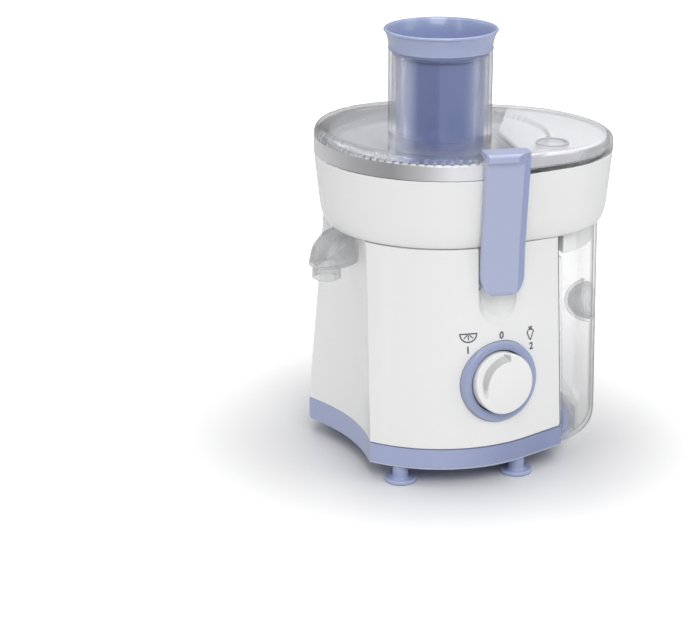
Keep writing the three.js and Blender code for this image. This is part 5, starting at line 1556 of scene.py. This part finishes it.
class JUICER_OT_studio(bpy.types.Operator):
    """Make the pale floor, the soft lights, the world and the camera"""

    bl_idname = "juicer.studio"
    bl_label = "Studio"

    def execute(self, context):
        scene = context.scene
        studio = scene.juicer_studio
        self.floor()
        self.world(scene)
        plain = (1.0, 1.0, 1.0)
        for name, place, height, size, power, tint in (
                ("key_light", (-0.25, -1.95, 2.0), 0.16, (1.4, 1.5), studio.key, (1.0, 0.995, 0.985)),
                ("fill_light", (1.7, -0.9, 1.0), 0.16, (1.0, 1.6), studio.fill, (0.97, 0.98, 1.0)),
                ("top_light", (0.1, 0.25, 2.0), 0.1, (1.6, 1.2), 17.0, plain),
                ("rim_light", (-1.7, 1.3, 1.7), 0.2, (1.2, 0.8), 5.0, plain),
                ("strip_light", (-1.25, -0.75, 0.75), 0.2, (0.22, 1.3), 2.6, plain)):
            self.softbox(name, place, (0, 0, height), size, power, tint)
        lens = bpy.data.cameras.new("camera")
        lens.sensor_width = 36.0
        lens.lens = studio.lens
        lens.clip_start = 0.05
        camera = bpy.data.objects.new("camera", lens)
        scene.collection.objects.link(camera)
        across = Vector((math.cos(studio.azimuth), -math.sin(studio.azimuth), 0))
        ahead = Vector((math.sin(studio.azimuth), math.cos(studio.azimuth), 0))
        camera.location = Vector((AXIS_X * 0.001, 0, studio.height)) - ahead * studio.distance
        aim = math.cos(studio.pitch) * (math.sin(studio.yaw) * across + math.cos(studio.yaw) * ahead)
        aim.z = -math.sin(studio.pitch)
        camera.rotation_euler = aim.to_track_quat("-Z", "Y").to_euler()
        scene.camera = camera
        scene.view_settings.view_transform = "Standard"
        return {"FINISHED"}

    def floor(self):
        """Pale floor with painted shadow and glow: it glows for the camera only, not at all near the machine and
        brightening to white further out.
        """
        bm = bmesh.new()
        bmesh.ops.create_grid(bm, x_segments=8, y_segments=8, size=6.0)
        thing = from_bmesh(bm, "floor")
        look, tree, shader = new_look("Pale floor")
        where = centred(tree)
        tone = node(tree, "ShaderNodeMix", {
            "A": (0.71, 0.71, 0.715, 1), "B": (0.74, 0.74, 0.742, 1), "Factor": noise(tree, where, 2.0)},
            data_type="RGBA")
        reach = node(tree, "ShaderNodeVectorMath", {0: where}, operation="LENGTH")
        # Painted shadow and glow: emission seen by the camera only, none near the machine and rising further out.
        painted_glow = node(tree, "ShaderNodeMapRange", {
            "Value": reach.outputs["Value"], "From Min": 0.07, "From Max": 0.42, "To Min": 0.0, "To Max": 0.9},
            interpolation_type="SMOOTHSTEP")
        seen = node(tree, "ShaderNodeLightPath", {}).outputs["Is Camera Ray"]
        feed(tree, shader, {
            "Base Color": tone.outputs["Result"], "Roughness": 0.32, "IOR": 1.35, "Emission Color": (1, 1, 1, 1),
            "Emission Strength": maths(tree, "MULTIPLY", seen, painted_glow.outputs[0])})
        paint(thing, look)

    def world(self, scene):
        world = bpy.data.worlds.new("studio")
        world.use_nodes = True
        scene.world = world
        tree = world.node_tree
        where = node(tree, "ShaderNodeTexCoord", {})
        parts = node(tree, "ShaderNodeSeparateXYZ", {0: where.outputs["Generated"]})
        ramp = node(tree, "ShaderNodeValToRGB", {0: parts.outputs["Z"]})
        set_ramp(ramp, [(0.0, (0.25, 0.25, 0.255)), (0.7, (0.50, 0.50, 0.505))])
        feed(tree, tree.nodes["Background"], {"Color": ramp.outputs[0], "Strength": 1.0})

    def softbox(self, name, place, target, size, power, tint):
        lamp = bpy.data.lights.new(name, "AREA")
        lamp.shape = "RECTANGLE"
        lamp.size, lamp.size_y = size
        lamp.energy = power
        lamp.color = tint
        thing = bpy.data.objects.new(name, lamp)
        bpy.context.scene.collection.objects.link(thing)
        thing.location = place
        aim = Vector(target) - Vector(place)
        thing.rotation_euler = aim.to_track_quat("-Z", "Y").to_euler()


# ---- Panel, registration and the run ----

PIECES = (
    JUICER_OT_studio, JUICER_OT_housing, JUICER_OT_base, JUICER_OT_feet, JUICER_OT_screws, JUICER_OT_collector,
    JUICER_OT_spout, JUICER_OT_lid, JUICER_OT_guide, JUICER_OT_pusher, JUICER_OT_knob, JUICER_OT_clamps,
    JUICER_OT_container, JUICER_OT_filter, JUICER_OT_marks, JUICER_OT_inner,
)


class JUICER_PT_panel(bpy.types.Panel):
    """Lists the juicer's pieces and sizes in the sidebar"""

    bl_label = "Centrifugal juicer"
    bl_idname = "JUICER_PT_panel"
    bl_space_type = "VIEW_3D"
    bl_region_type = "UI"
    bl_category = "Juicer"

    def draw(self, context):
        for owner in ("juicer_plan", "juicer_colours", "juicer_filter", "juicer_studio"):
            group = getattr(context.scene, owner)
            for field in group.bl_rna.properties:
                if not field.is_readonly and field.identifier != "name":
                    self.layout.prop(group, field.identifier)
        for piece in PIECES:
            self.layout.operator(piece.bl_idname)


GROUPS = {"juicer_plan": JuicerPlan, "juicer_colours": JuicerColours, "juicer_filter": JuicerFilter,
          "juicer_studio": JuicerStudio}


def register():
    for kind in (*GROUPS.values(), *PIECES, JUICER_PT_panel):
        bpy.utils.register_class(kind)
    for owner, group in GROUPS.items():
        setattr(bpy.types.Scene, owner, PointerProperty(type=group))


def unregister():
    for owner in GROUPS:
        delattr(bpy.types.Scene, owner)
    for kind in reversed((*GROUPS.values(), *PIECES, JUICER_PT_panel)):
        bpy.utils.unregister_class(kind)


def main():
    register()
    for piece in PIECES:
        getattr(bpy.ops.juicer, piece.bl_idname.split(".")[1])()


if __name__ == "__main__":
    main()
